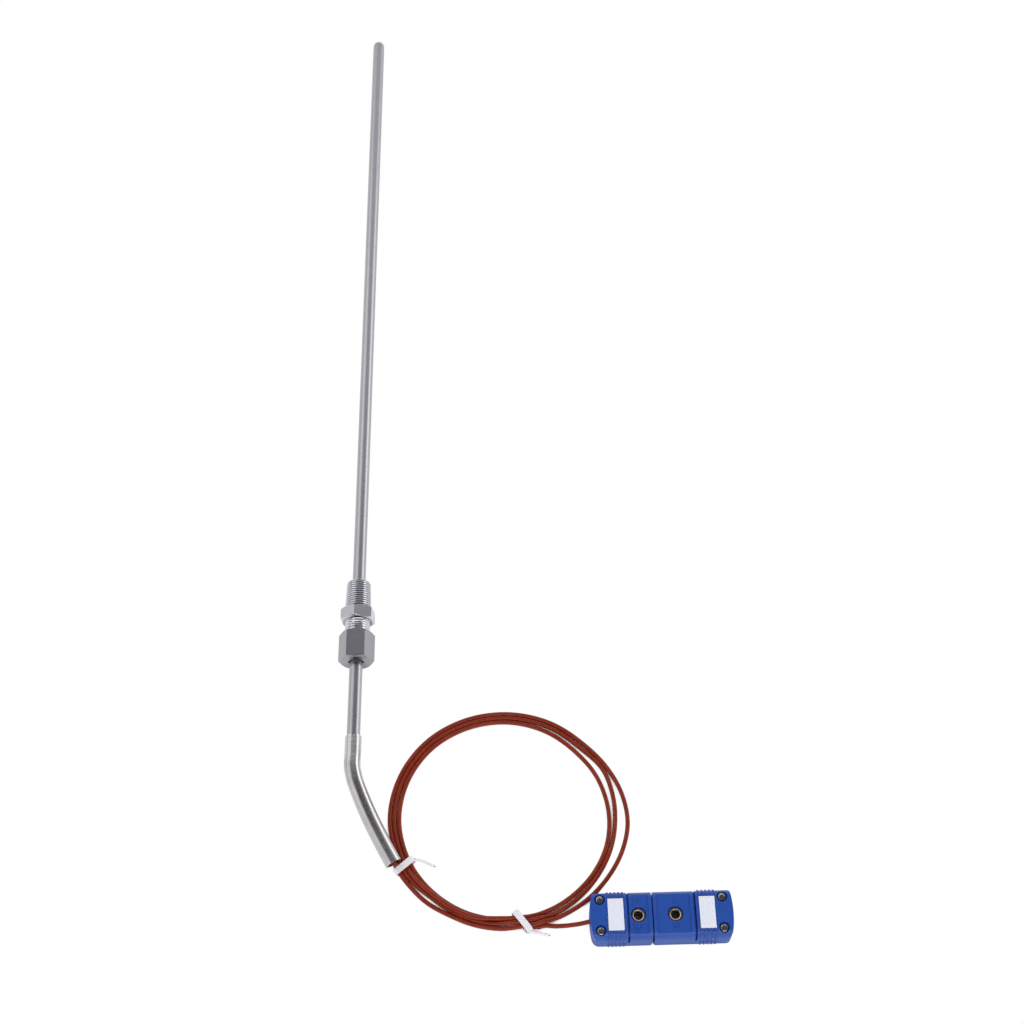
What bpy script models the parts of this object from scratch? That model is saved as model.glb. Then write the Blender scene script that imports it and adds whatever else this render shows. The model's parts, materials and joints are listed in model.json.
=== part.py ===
"""Temperature probe with a sliding threaded fitting, a spring strain relief, a coiled lead
and a mated pair of miniature flat connectors, all lying on a floor at Z = 0.

Metres, +Z up, +Y towards the probe's tip. The origin is on the floor under the middle of
the sheath. The probe leans on its tip and on a corner of the fitting's hexagon.
"""

import math

import bmesh
import bpy
import numpy as np
from mathutils import Matrix, Vector

# Clearances
CLEARANCE = 0.0003
SEAT_GAP = 0.00015

# Sheath: a thin tube with a round closed tip
SHEATH_DIAMETER = 0.0050
SHEATH_WALL = 0.0005
SHEATH_LENGTH = 0.3640
SHEATH_SIDES = 32

# What the sheath holds
WIRE_DIAMETER = 0.0007
WIRE_SPACING = 0.0016
BEAD_WIDTH = 0.0026
BEAD_LENGTH = 0.0014
SEAL_LENGTH = 0.0140
SEAL_GRIP_ON_WIRES = 0.0040
SEAL_GRIP_ON_CABLE = 0.0050

# Fitting: a taper thread, a hexagon and a neck for the nut
FITTING_FROM_TIP = 0.2870
THREAD_LENGTH = 0.0118
THREAD_PITCH = 0.00094
THREAD_DEPTH = 0.00055
THREAD_START_DIAMETER = 0.00920
THREAD_TAPER = 1 / 16
THREAD_END_PLAIN = 0.0007
THREAD_COLLAR = 0.0004
THREAD_ROOT_SHARE = 0.12
THREAD_CREST_SHARES = (0.5, 0.62)
THREAD_SIDES = 28
HEX_ACROSS_FLATS = 0.0120
HEX_CHAMFER_ANGLE = math.radians(30)
HEX_FACE_SHARE = 0.95
BODY_HEX_LENGTH = 0.0052
BODY_HEX_TURN = math.radians(7.6)
NECK_DIAMETER = 0.0095
NECK_LENGTH = 0.0108
NECK_SHOWING = 0.0051
NECK_CHAMFER = 0.0005
SEAT_DEPTH = 0.0024
SEAT_MOUTH_DIAMETER = 0.0078

# Nut and the two ferrules under it
NUT_LENGTH = 0.0120
NUT_END_WALL = 0.0026
FRONT_FERRULE_IN_SEAT = 0.0015
FRONT_FERRULE_COLLAR = 0.0010
BACK_FERRULE_NOSE = 0.0005

# Spring over the sheath's end
SPRING_OVERLAP = 0.0126
SPRING_FIT = 0.00012
SPRING_WIRE = 0.00048
SPRING_PITCH = 0.0006
SPRING_GROOVE = 0.0002
SPRING_SIDES = 14
SPRING_GROOVE_SHARE = 0.08
SPRING_CREST_SHARE = 0.5

# Cable, coil and ties
CABLE_DIAMETER = 0.00165
CABLE_POINT_SPACING = 1.5
CONDUCTOR_DIAMETER = 0.0007
COIL_LANE_RADIUS = 0.0380
COIL_LANES = 3
COIL_LANE_PITCH = 0.0017
COIL_HEIGHT = 0.0024
COIL_FAN = 0.0032
COIL_FAN_SHARPNESS = 6
COIL_DENT = 0.0012
COIL_DENT_SHARPNESS = 30
COIL_SIDES = 60
COIL_SECTION_SIDES = 8
TIE_WIDTH = 0.0025
TIE_THICKNESS = 0.0004
TIE_TAIL_WIDTH = 0.0009
TIE_CORNER_SHARE = 0.4

# Flat connectors
CONNECTOR_WIDTH = 0.0176
CONNECTOR_HEIGHT = 0.0096
PARTING_HEIGHT = 0.0045
SHOULDER_WIDTH = 0.0030
SHELL_EDGE = 0.0004
REAR_ARCH = 0.0010
REAR_CORNER = 0.0022
REAR_CORNER_IN_ARCH = 0.7
REAR_CORNER_END = math.radians(150)
FRONT_CORNER = 0.0010
FRONT_CORNER_FACET = 0.3
CAP_LENGTH = 0.0131
CAP_NOTCH = 0.0007
BLOCK_DROP = 0.0004
PANEL_DEPTH = 0.0004
PANEL_BORDER = 0.0012
PANEL_SIDE_BORDER = 0.0008
SHELL_WALL = 0.0013
CAP_SIDE_WALL = SHELL_WALL * 1.5
PLUG_LENGTH = 0.0219
SOCKET_LENGTH = 0.0282
MATING_GAP = 0.0004
CABLE_ENTRY_DIAMETER = 0.0046
CABLE_IN_ENTRY = (-0.0006, -0.0010)
PLUG_EYELET_FROM_FRONT = 0.0048
SOCKET_EYELET_FROM_FRONT = 0.0079
EYELET_BORE = 0.0032
EYELET_TUBE_WALL = 0.00025
EYELET_FLANGE = 0.0006
EYELET_FLANGE_HEIGHT = 0.0004
EYELET_SINK = 0.0016
LABEL_WIDTH = 0.0056
LABEL_LENGTH = 0.0115
LABEL_FROM_REAR = 0.0063
LABEL_THICKNESS = 0.0004
RIB_COUNT = 5
RIB_PITCH = 0.00135
RIB_WIDTH = 0.0007
RIB_RISE = 0.00025

# Screws and contacts in the connectors
CAP_SCREW_FROM_REAR = 0.0036
CAP_SCREW_SPACING = 0.0110
CAP_SCREW_HEAD = 0.0029
CAP_SCREW_SHANK = 0.0016
SCREW_HEAD_HEIGHT = 0.0009
SCREW_SINK = 0.0016
SCREW_SLOT_WIDTH = 0.00036
SCREW_SLOT_DEPTH = 0.00045
SCREW_CROSS_SHARE = 0.62
SCREW_HEAD_SHAPE = [(1.0, 0.5), (0.82, 0.85), (0.45, 1.0)]
TERMINAL_FROM_REAR = 0.0092
TERMINAL_HEAD = 0.0025
TERMINAL_SHANK = 0.0014
PIN_SPACING = 0.0082
PIN_THICKNESS = 0.0008
POSITIVE_PIN_WIDTH = 0.0024
NEGATIVE_PIN_WIDTH = 0.0032
PIN_REACH = 0.0110
CONTACT_SHEET = 0.0004

# A conductor inside the plug: shares of its way forward, across and up
CONDUCTOR_SHAPE = [(0.0, 0.0, 0.0), (0.3, 0.05, 0.5), (0.65, 0.3, 1.0), (1.0, 1.0, 1.0)]
CONDUCTOR_END_SHARE = 0.85
CONDUCTOR_REST_SHARE = 0.6

# Places behind the sheath, from the floor under its rear end: right, forward and up
COIL_CENTRE = (0.0557, -0.0171)
CONNECTOR_PLACE = (0.0856, -0.05605)
CONNECTOR_TURN = math.radians(1.0)
SPRING_ROUTE = [
    (0.0010, -0.0026, 0.0074),
    (0.0031, -0.0093, 0.0066),
    (0.0083, -0.0216, 0.0049),
]
SPRING_MOUTH_DIRECTION = math.radians(203.7)
LEAD_IN_SPRING = [(0.35, 0.0004, 0.0001), (0.7, 0.0008, 0.0005), (1.0, 0.0011, 0.0009)]
LEAD_BESIDE_COIL = [
    (math.radians(206.7), 0.0009),
    (math.radians(210.0), 0.0006),
    (math.radians(215.0), 0.0004),
    (math.radians(221.0), 0.0004),
]
TAIL_BESIDE_COIL = [
    (math.radians(285.5), 0.0004),
    (math.radians(288.5), 0.0008),
]
TAIL_ROUTE = [
    (0.0740, -0.0586, 0.0019),
    (0.0785, -0.0577, 0.0027),
    (0.0828, -0.0567, 0.0038),
]
COIL_FAN_DIRECTION = math.radians(4)
COIL_DENT_DIRECTION = math.radians(200)
TIE_LEFT_DIRECTION = math.radians(206.3)
TIE_LEFT_SLANT = math.radians(13.3)
TIE_LEFT_TAIL = [(-0.0056, 0.0014), (-0.0070, 0.0040), (-0.0086, 0.0073)]
TIE_BOTTOM_DIRECTION = math.radians(278.9)
TIE_BOTTOM_SLANT = math.radians(29)
TIE_BOTTOM_TAIL = [(0.0056, 0.0010), (0.0072, 0.0024), (0.0098, 0.0046)]

# Sizes that follow from the ones above
SHEATH_RADIUS = SHEATH_DIAMETER / 2
SHEATH_BORE_RADIUS = SHEATH_RADIUS - SHEATH_WALL
CORE_RADIUS = SHEATH_BORE_RADIUS - SEAT_GAP
WIRE_BORE_RADIUS = WIRE_DIAMETER / 2 + SEAT_GAP
FITTING_BORE_RADIUS = SHEATH_RADIUS + CLEARANCE
FERRULE_BORE_RADIUS = SHEATH_RADIUS + SEAT_GAP
NECK_END = THREAD_LENGTH + BODY_HEX_LENGTH + NECK_LENGTH
NUT_START = THREAD_LENGTH + BODY_HEX_LENGTH + NECK_SHOWING
NUT_SHOULDER = NUT_START + NUT_LENGTH - NUT_END_WALL
HEX_CORNER_RADIUS = HEX_ACROSS_FLATS / 2 / math.cos(math.pi / 6)
SPRING_BORE_RADIUS = SHEATH_RADIUS + SPRING_FIT
SPRING_RADIUS = SPRING_BORE_RADIUS + SPRING_WIRE
CABLE_RADIUS = CABLE_DIAMETER / 2
COIL_BOTTOM = TIE_THICKNESS + CLEARANCE
COIL_INNER_RADIUS = COIL_LANE_RADIUS - COIL_LANE_PITCH / 2
COIL_OUTER_RADIUS = COIL_INNER_RADIUS + COIL_LANES * COIL_LANE_PITCH
BLOCK_HEIGHT = CONNECTOR_HEIGHT - BLOCK_DROP
CAVITY_TOP = CONNECTOR_HEIGHT - LABEL_THICKNESS - SHELL_WALL
CAVITY_FRONT = CAP_LENGTH - SEAT_GAP
PIN_HEIGHT = PARTING_HEIGHT - PIN_THICKNESS / 4
PIN_TOP = PIN_HEIGHT + PIN_THICKNESS / 2
PIN_BOTTOM = PIN_HEIGHT - PIN_THICKNESS / 2
SCREW_HOLE_FLOOR = SHELL_WALL
EYELET_SHANK_RADIUS = EYELET_BORE / 2 + EYELET_TUBE_WALL
EYELET_FLANGE_RADIUS = EYELET_SHANK_RADIUS + EYELET_FLANGE


def probe_lean():
    """Angle between the floor and the probe's axis, resting on its tip and a hexagon corner."""
    hex_start = FITTING_FROM_TIP + THREAD_LENGTH - SHEATH_RADIUS
    corner_drop = HEX_CORNER_RADIUS * math.cos(BODY_HEX_TURN)
    reach = math.hypot(corner_drop, hex_start)
    return math.acos(SHEATH_RADIUS / reach) - math.atan2(hex_start, corner_drop)


LEAN = probe_lean()
TIP_HEIGHT = SHEATH_RADIUS * (1 - math.sin(LEAN))
REAR = Vector((0, -SHEATH_LENGTH * math.cos(LEAN) / 2, 0))


def from_rear(place):
    """World place of a point given from the floor under the sheath's rear end."""
    return REAR + Vector(place)


def remove_everything():
    for item in list(bpy.data.objects):
        bpy.data.objects.remove(item, do_unlink=True)


def make_material(name, colour, metallic, roughness):
    """Principled material; colour is linear red, green and blue."""
    material = bpy.data.materials.new(name)
    material.use_nodes = True
    shader = material.node_tree.nodes["Principled BSDF"]
    shader.inputs["Base Color"].default_value = (*colour, 1.0)
    shader.inputs["Metallic"].default_value = metallic
    shader.inputs["Roughness"].default_value = roughness
    material.diffuse_color = (*colour, 1.0)
    return material


def add_empty(name, location, rotation=(0, 0, 0), parent=None):
    empty = bpy.data.objects.new(name, None)
    empty.location = location
    empty.rotation_euler = rotation
    empty.parent = parent
    bpy.context.collection.objects.link(empty)
    return empty


def add_solid(name, shape, material, parent, sharp_angle=math.radians(30)):
    """Turn a bmesh into an object with outward faces, smooth except at sharp edges."""
    bmesh.ops.recalc_face_normals(shape, faces=shape.faces)
    mesh = bpy.data.meshes.new(name)
    shape.to_mesh(mesh)
    shape.free()
    mesh.shade_smooth()
    mesh.set_sharp_from_angle(angle=sharp_angle)
    mesh.materials.append(material)
    solid = bpy.data.objects.new(name, mesh)
    solid.parent = parent
    bpy.context.collection.objects.link(solid)
    return solid


def combine(solid, shape, operation):
    """Join, cut or intersect a solid with a hidden helper shape in the solid's own frame."""
    bmesh.ops.recalc_face_normals(shape, faces=shape.faces)
    name = f"{solid.name}_{operation.lower()}_{len(solid.modifiers)}"
    mesh = bpy.data.meshes.new(name)
    shape.to_mesh(mesh)
    shape.free()
    helper = bpy.data.objects.new(name, mesh)
    helper.parent = solid
    helper.hide_render = True
    helper.display_type = "WIRE"
    bpy.context.collection.objects.link(helper)
    step = solid.modifiers.new(name, "BOOLEAN")
    step.operation = operation
    step.solver = "EXACT"
    step.object = helper


def cut(solid, shape):
    combine(solid, shape, "DIFFERENCE")


def join(solid, shape):
    combine(solid, shape, "UNION")


def keep_inside(solid, shape):
    combine(solid, shape, "INTERSECT")


def turned(profile, sides, closed=False):
    """Spin a profile of (radius, height) points round Z."""
    shape = bmesh.new()
    points = [shape.verts.new((radius, 0, height)) for radius, height in profile]
    pairs = list(zip(points, points[1:]))
    if closed:
        pairs.append((points[-1], points[0]))
    edges = [shape.edges.new(pair) for pair in pairs]
    bmesh.ops.spin(
        shape, geom=points + edges, cent=(0, 0, 0), axis=(0, 0, 1),
        angle=math.tau, steps=sides,
    )
    bmesh.ops.remove_doubles(shape, verts=shape.verts, dist=1e-7)
    bmesh.ops.dissolve_degenerate(shape, edges=shape.edges, dist=1e-8)
    return shape


def rod(radius, start, end, sides=16, centre=(0, 0)):
    """Round bar along Z."""
    shape = turned([(0, start), (radius, start), (radius, end), (0, end)], sides)
    bmesh.ops.translate(shape, verts=shape.verts, vec=(*centre, 0))
    return shape


def prism(outline, start, end, axis="Z"):
    """Push a flat outline along Z, or along X when the outline is in Y and Z, or along Y."""
    place = {
        "Z": lambda a, b, c: (a, b, c),
        "X": lambda a, b, c: (c, a, b),
        "Y": lambda a, b, c: (a, c, b),
    }[axis]
    shape = bmesh.new()
    face = shape.faces.new([shape.verts.new(place(a, b, start)) for a, b in outline])
    pushed = bmesh.ops.extrude_face_region(shape, geom=[face])["geom"]
    moved = [item for item in pushed if isinstance(item, bmesh.types.BMVert)]
    bmesh.ops.translate(shape, verts=moved, vec=Vector(place(0, 0, end - start)))
    return shape


def add_shape(whole, piece):
    """Copy one shape into another."""
    mesh = bpy.data.meshes.new("piece")
    piece.to_mesh(mesh)
    piece.free()
    whole.from_mesh(mesh)
    bpy.data.meshes.remove(mesh)


def block(low, high):
    """Box between two corners."""
    outline = [(low[0], low[1]), (high[0], low[1]), (high[0], high[1]), (low[0], high[1])]
    return prism(outline, low[2], high[2])


def arc(centre, radius, start, end, steps):
    """Points along a circular arc, both ends included."""
    angles = [start + (end - start) * step / steps for step in range(steps + 1)]
    return [(centre[0] + radius * math.cos(a), centre[1] + radius * math.sin(a)) for a in angles]


def helical_skin(sides, turns, strands, place, ends):
    """Skin of a screw thread or a close-wound spring, open at both ends.

    strands are (share of a turn, radius at that share) within one pitch. place turns a
    number of turns, a radius and an angle into a point. ends are the radii of the end rings.
    Returns the shape and the vertices of its two end rings.
    """
    shape = bmesh.new()
    steps = sides * turns
    lines = []
    for share, radius in strands:
        line = []
        for step in range(steps + 1):
            angle = math.tau * step / sides
            line.append(shape.verts.new(place(step / sides + share, radius, angle)))
        lines.append(line)
    for near, far in zip(lines, lines[1:]):
        for step in range(steps):
            shape.faces.new((near[step], near[step + 1], far[step + 1], far[step]))
    first, last = lines[0], lines[-1]
    for step in range(steps - sides):
        after = step + sides
        shape.faces.new((last[step], last[step + 1], first[after + 1], first[after]))
    rings = []
    for turn, radius in zip((0, turns + 1), ends):
        ring = [
            shape.verts.new(place(turn, radius, math.tau * step / sides))
            for step in range(sides)
        ]
        rings.append(ring)
    start, end = rings
    for step in range(sides):
        after = (step + 1) % sides
        shape.faces.new((start[step], start[after], first[step + 1], first[step]))
        late = steps - sides + step
        shape.faces.new((last[late], last[late + 1], end[after], end[step]))
    shape.faces.new([start[0], *[line[0] for line in lines], first[sides]])
    shape.faces.new([last[steps - sides], *[line[steps] for line in lines], end[0]])
    return shape, start, end


class Route:
    """Smooth curve through a few points, measured along its length, with steady cross axes."""

    SAMPLES = 24

    def __init__(self, points):
        points = [Vector(point) for point in points]
        before = points[0] * 2 - points[1]
        after = points[-1] * 2 - points[-2]
        knots = [before, *points, after]
        dense = []
        for a, b, c, d in zip(knots, knots[1:], knots[2:], knots[3:]):
            for sample in range(self.SAMPLES):
                dense.append(self.between(a, b, c, d, sample / self.SAMPLES))
        dense.append(points[-1])
        self.points = np.array([tuple(point) for point in dense])
        steps = np.linalg.norm(np.diff(self.points, axis=0), axis=1)
        self.along = np.concatenate([[0.0], np.cumsum(steps)])
        self.length = float(self.along[-1])
        self.axes = self.cross_axes()

    @staticmethod
    def heading(a, b, c):
        """Direction at b, weighted towards the nearer of its two neighbours."""
        before, after = (b - a).length, (c - b).length
        return ((b - a) * (after / before) + (c - b) * (before / after)) / (before + after)

    @classmethod
    def between(cls, a, b, c, d, share):
        """Point on the smooth curve from b to c, with a and d as their outer neighbours."""
        leave = cls.heading(a, b, c) * (c - b).length
        arrive = cls.heading(b, c, d) * (c - b).length
        square = share * share
        cube = square * share
        return (
            b * (2 * cube - 3 * square + 1)
            + leave * (cube - 2 * square + share)
            + c * (3 * square - 2 * cube)
            + arrive * (cube - square)
        )

    def cross_axes(self):
        """One cross axis at each point, carried along without twist."""
        tangents = np.gradient(self.points, axis=0)
        tangents /= np.linalg.norm(tangents, axis=1)[:, None]
        self.tangents = tangents
        axis = np.cross(tangents[0], (0.0, 0.0, 1.0))
        axes = []
        for tangent in tangents:
            axis = axis - tangent * np.dot(axis, tangent)
            axis = axis / np.linalg.norm(axis)
            axes.append(axis)
        return np.array(axes)

    def read(self, table, distance):
        return np.array([np.interp(distance, self.along, table[:, i]) for i in range(3)])

    def point(self, distance, radius=0.0, angle=0.0):
        """Point at a distance along the route, and at a radius and angle around it."""
        centre = self.read(self.points, distance)
        tangent = self.read(self.tangents, distance)
        side = self.read(self.axes, distance)
        side = side / np.linalg.norm(side)
        other = np.cross(tangent / np.linalg.norm(tangent), side)
        offset = side * math.cos(angle) + other * math.sin(angle)
        return Vector(centre + offset * radius)

    def spaced(self, spacing):
        count = max(2, math.ceil(self.length / spacing))
        return [self.point(self.length * i / count) for i in range(count + 1)]


def on_axis(from_tip):
    """World place on the probe's axis."""
    back = -from_tip * math.cos(LEAN)
    forward = REAR.y + SHEATH_LENGTH * math.cos(LEAN) + back
    return Vector((0, forward, TIP_HEIGHT + from_tip * math.sin(LEAN)))


def add_cable(name, route, diameter, material, spacing):
    """Round cable along a route, with flat ends."""
    curve = bpy.data.curves.new(name, "CURVE")
    curve.dimensions = "3D"
    curve.bevel_depth = diameter / 2
    curve.bevel_resolution = 2
    curve.use_fill_caps = True
    curve.materials.append(material)
    places = route.spaced(spacing)
    spline = curve.splines.new("POLY")
    spline.points.add(len(places) - 1)
    for point, place in zip(spline.points, places):
        point.co = (*place, 1)
    cable = bpy.data.objects.new(name, curve)
    bpy.context.collection.objects.link(cable)
    return cable


def build_sheath(material, axis):
    outer, inner = SHEATH_RADIUS, SHEATH_BORE_RADIUS
    tip = arc((0, outer), outer, -math.pi / 2, 0, 6)
    bore = arc((0, outer), inner, 0, -math.pi / 2, 5)
    profile = [(0, 0), *tip[1:], (outer, SHEATH_LENGTH), (inner, SHEATH_LENGTH), *bore[:-1]]
    profile.append((0, SHEATH_WALL))
    add_solid("sheath", turned(profile, SHEATH_SIDES), material, axis)


def bead_centre():
    return SHEATH_WALL + SEAT_GAP + BEAD_LENGTH / 2


def build_junction(bead_material, wire_materials, axis):
    """The welded bead at the tip and the two wires that run back from it."""
    bead = bmesh.new()
    bmesh.ops.create_uvsphere(bead, u_segments=16, v_segments=8, radius=0.5)
    size = Matrix.Diagonal((BEAD_WIDTH, BEAD_LENGTH, BEAD_LENGTH, 1))
    bmesh.ops.transform(bead, matrix=Matrix.Translation((0, 0, bead_centre())) @ size, verts=bead.verts)
    add_solid("junction_bead", bead, bead_material, axis)
    start = bead_centre() + BEAD_LENGTH / 2 + SEAT_GAP
    end = SHEATH_LENGTH - SEAL_LENGTH + SEAL_GRIP_ON_WIRES
    for side, name in ((-1, "positive_wire"), (1, "negative_wire")):
        shape = rod(WIRE_DIAMETER / 2, start, end, 10, (side * WIRE_SPACING / 2, 0))
        add_solid(name, shape, wire_materials[name], axis)


def wire_bores(start, end):
    """Two round cutters for the wires, as one shape."""
    both = bmesh.new()
    for side in (-1, 1):
        add_shape(both, rod(WIRE_BORE_RADIUS, start, end, 12, (side * WIRE_SPACING / 2, 0)))
    return both


def build_filling(core_material, seal_material, axis):
    """Packed mineral core with two bores, and the seal that closes the sheath's rear end."""
    seal_start = SHEATH_LENGTH - SEAL_LENGTH
    core_start = bead_centre() + BEAD_LENGTH / 2 + SEAT_GAP * 2
    core_start = max(core_start, SHEATH_RADIUS)
    core_end = seal_start - SEAT_GAP
    core = add_solid("mineral_core", rod(CORE_RADIUS, core_start, core_end, 24), core_material, axis)
    cut(core, wire_bores(core_start - CLEARANCE, core_end + CLEARANCE))
    seal = add_solid("end_seal", rod(CORE_RADIUS, seal_start, SHEATH_LENGTH, 24), seal_material, axis)
    cut(seal, wire_bores(seal_start - CLEARANCE, seal_start + SEAL_GRIP_ON_WIRES + SEAT_GAP))
    cable_end = SHEATH_LENGTH - SEAL_GRIP_ON_CABLE - SEAT_GAP
    cut(seal, rod(CABLE_RADIUS + SEAT_GAP, cable_end, SHEATH_LENGTH + CLEARANCE, 16))


def hexagon(start, end, turn=0.0):
    """Hexagonal bar with both ends turned down at a slant; a flat faces +Y before the turn."""
    corners = [turn + math.radians(60) * i for i in range(6)]
    outline = [(HEX_CORNER_RADIUS * math.cos(a), HEX_CORNER_RADIUS * math.sin(a)) for a in corners]
    return prism(outline, start, end)


def hexagon_turning(start, end):
    """The turned blank that gives a hexagon its slanted ends."""
    face = HEX_ACROSS_FLATS / 2 * HEX_FACE_SHARE
    full = HEX_CORNER_RADIUS + CLEARANCE
    slant = (full - face) * math.tan(HEX_CHAMFER_ANGLE)
    profile = [(0, start), (face, start), (full, start + slant), (full, end - slant), (face, end), (0, end)]
    return turned(profile, 48)


def thread_shank():
    """Taper-threaded shank from the fitting's front face into its hexagon."""
    turns = math.floor((THREAD_LENGTH - THREAD_END_PLAIN) / THREAD_PITCH) - 1
    start_radius = THREAD_START_DIAMETER / 2
    root = start_radius - THREAD_DEPTH

    def place(turn, radius, angle):
        height = THREAD_END_PLAIN / 2 + turn * THREAD_PITCH
        if turn == 0:
            height = 0
        if turn == turns + 1:
            height = THREAD_LENGTH + CLEARANCE
        wide = radius + height * THREAD_TAPER / 2
        return (wide * math.cos(angle), wide * math.sin(angle), height)

    crests = [(share, start_radius) for share in THREAD_CREST_SHARES]
    strands = [(THREAD_ROOT_SHARE, root), *crests]
    shape, start, end = helical_skin(THREAD_SIDES, turns, strands, place, (root, root))
    shape.faces.new(start)
    shape.faces.new(end)
    return shape


def build_fitting_body(material, axis):
    hex_start = THREAD_LENGTH
    hex_end = hex_start + BODY_HEX_LENGTH
    shape = hexagon(hex_start, hex_end, math.pi / 2 + BODY_HEX_TURN)
    body = add_solid("fitting_body", shape, material, axis, math.radians(25))
    keep_inside(body, hexagon_turning(hex_start, hex_end))
    join(body, thread_shank())
    collar = THREAD_START_DIAMETER / 2 + THREAD_LENGTH * THREAD_TAPER / 2
    join(body, rod(collar, hex_start - THREAD_COLLAR, hex_start + CLEARANCE, 36))
    neck = NECK_DIAMETER / 2
    neck_profile = [
        (0, hex_end - CLEARANCE),
        (neck, hex_end - CLEARANCE),
        (neck, NECK_END - NECK_CHAMFER),
        (neck - NECK_CHAMFER, NECK_END),
        (0, NECK_END),
    ]
    join(body, turned(neck_profile, 36))
    mouth = SEAT_MOUTH_DIAMETER / 2
    slope = (mouth - FITTING_BORE_RADIUS) / SEAT_DEPTH
    bore_profile = [
        (0, -CLEARANCE),
        (FITTING_BORE_RADIUS, -CLEARANCE),
        (FITTING_BORE_RADIUS, NECK_END - SEAT_DEPTH),
        (mouth + CLEARANCE * slope, NECK_END + CLEARANCE),
        (0, NECK_END + CLEARANCE),
    ]
    cut(body, turned(bore_profile, SHEATH_SIDES))


def ferrule_radius(depth):
    """Outer radius of the front ferrule at a depth inside the fitting's conical seat."""
    mouth = SEAT_MOUTH_DIAMETER / 2
    slope = (mouth - FITTING_BORE_RADIUS) / SEAT_DEPTH
    return mouth - CLEARANCE * math.hypot(1, slope) - depth * slope


def build_ferrules(material, axis, nut_carrier):
    bore = FERRULE_BORE_RADIUS
    nose = NECK_END - FRONT_FERRULE_IN_SEAT
    collar = NECK_END + FRONT_FERRULE_COLLAR
    widest = ferrule_radius(0)
    front = [
        (bore, nose),
        (max(ferrule_radius(FRONT_FERRULE_IN_SEAT), bore + SEAT_GAP), nose),
        (widest, NECK_END),
        (widest, collar),
        (bore, collar),
    ]
    add_solid("front_ferrule", turned(front, SHEATH_SIDES, closed=True), material, axis)
    start = collar + CLEARANCE
    end = NUT_SHOULDER - CLEARANCE
    back = [
        (bore, start),
        (widest - BACK_FERRULE_NOSE, start),
        (widest, start + BACK_FERRULE_NOSE),
        (widest, end),
        (bore, end),
    ]
    add_solid("back_ferrule", turned(back, SHEATH_SIDES, closed=True), material, nut_carrier)


def build_nut(material, nut_axis):
    end = NUT_START + NUT_LENGTH
    nut = add_solid("compression_nut", hexagon(NUT_START, end), material, nut_axis, math.radians(25))
    keep_inside(nut, hexagon_turning(NUT_START, end))
    thread = NECK_DIAMETER / 2 + CLEARANCE
    chamber = ferrule_radius(0) + CLEARANCE * 2
    hole = SHEATH_RADIUS + CLEARANCE
    inside = [
        (0, NUT_START - CLEARANCE),
        (thread, NUT_START - CLEARANCE),
        (thread, NECK_END + CLEARANCE),
        (chamber, NECK_END + CLEARANCE * 2),
        (chamber, NUT_SHOULDER),
        (hole, NUT_SHOULDER),
        (hole, end + CLEARANCE),
        (0, end + CLEARANCE),
    ]
    cut(nut, turned(inside, SHEATH_SIDES))


def lobe(angle, direction, sharpness):
    """Smooth bump of height one round a direction."""
    return max(0.0, math.cos(angle - direction)) ** sharpness


def coil_outer_radius(angle):
    """Outer radius of the coil's ring in one direction: it fans out, and gives way to the spring."""
    fan = COIL_FAN * lobe(angle, COIL_FAN_DIRECTION, COIL_FAN_SHARPNESS)
    dent = COIL_DENT * lobe(angle, COIL_DENT_DIRECTION, COIL_DENT_SHARPNESS)
    return COIL_OUTER_RADIUS + fan - dent


def beside_coil(angle, distance, height):
    """World place outside the coil's ring, at a distance from its outer side."""
    reach = coil_outer_radius(angle) + distance
    centre = Vector((*COIL_CENTRE, height))
    return from_rear(centre + Vector((reach * math.cos(angle), reach * math.sin(angle), 0)))


def spring_route():
    start = SHEATH_LENGTH - SPRING_OVERLAP
    straight_end = SHEATH_LENGTH + SPRING_WIRE
    on_sheath = [on_axis(start), on_axis((start + SHEATH_LENGTH) / 2), on_axis(SHEATH_LENGTH)]
    free = [on_axis(straight_end), *[from_rear(place) for place in SPRING_ROUTE]]
    room = SPRING_RADIUS + CLEARANCE
    return Route([*on_sheath, *free, beside_coil(SPRING_MOUTH_DIRECTION, room, room)])


def lead_route(spring):
    """From the seal, sagging to one side of the spring's mouth, and on beside the coil."""
    inside = [on_axis(SHEATH_LENGTH - SEAL_GRIP_ON_CABLE), on_axis(SHEATH_LENGTH)]
    free_start = SPRING_OVERLAP
    inward = (from_rear((*COIL_CENTRE, 0)) - spring.point(spring.length)).to_2d().normalized()
    for share, sag, side in LEAD_IN_SPRING:
        centre = spring.point(free_start + (spring.length - free_start) * share)
        inside.append(centre + Vector((inward.x * side, inward.y * side, -sag)))
    height = COIL_BOTTOM + CABLE_RADIUS + CLEARANCE
    beside = [beside_coil(angle, gap + CABLE_RADIUS, height) for angle, gap in LEAD_BESIDE_COIL]
    return Route([*inside, *beside])


def tail_route(plug_place):
    """From the coil up into the plug's rear wall."""
    height = COIL_BOTTOM + CABLE_RADIUS
    start = [beside_coil(angle, gap + CABLE_RADIUS, height) for angle, gap in TAIL_BESIDE_COIL]
    free = [from_rear(place) for place in TAIL_ROUTE]
    forward = Vector((math.cos(CONNECTOR_TURN), math.sin(CONNECTOR_TURN), 0))
    aside, up = CABLE_IN_ENTRY
    entry = plug_place + Vector((-forward.y, forward.x, 0)) * aside + Vector((0, 0, PARTING_HEIGHT + up))
    inside = REAR_ARCH + SHELL_WALL + CLEARANCE
    return Route([*start, *free, entry, entry + forward * inside])


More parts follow.
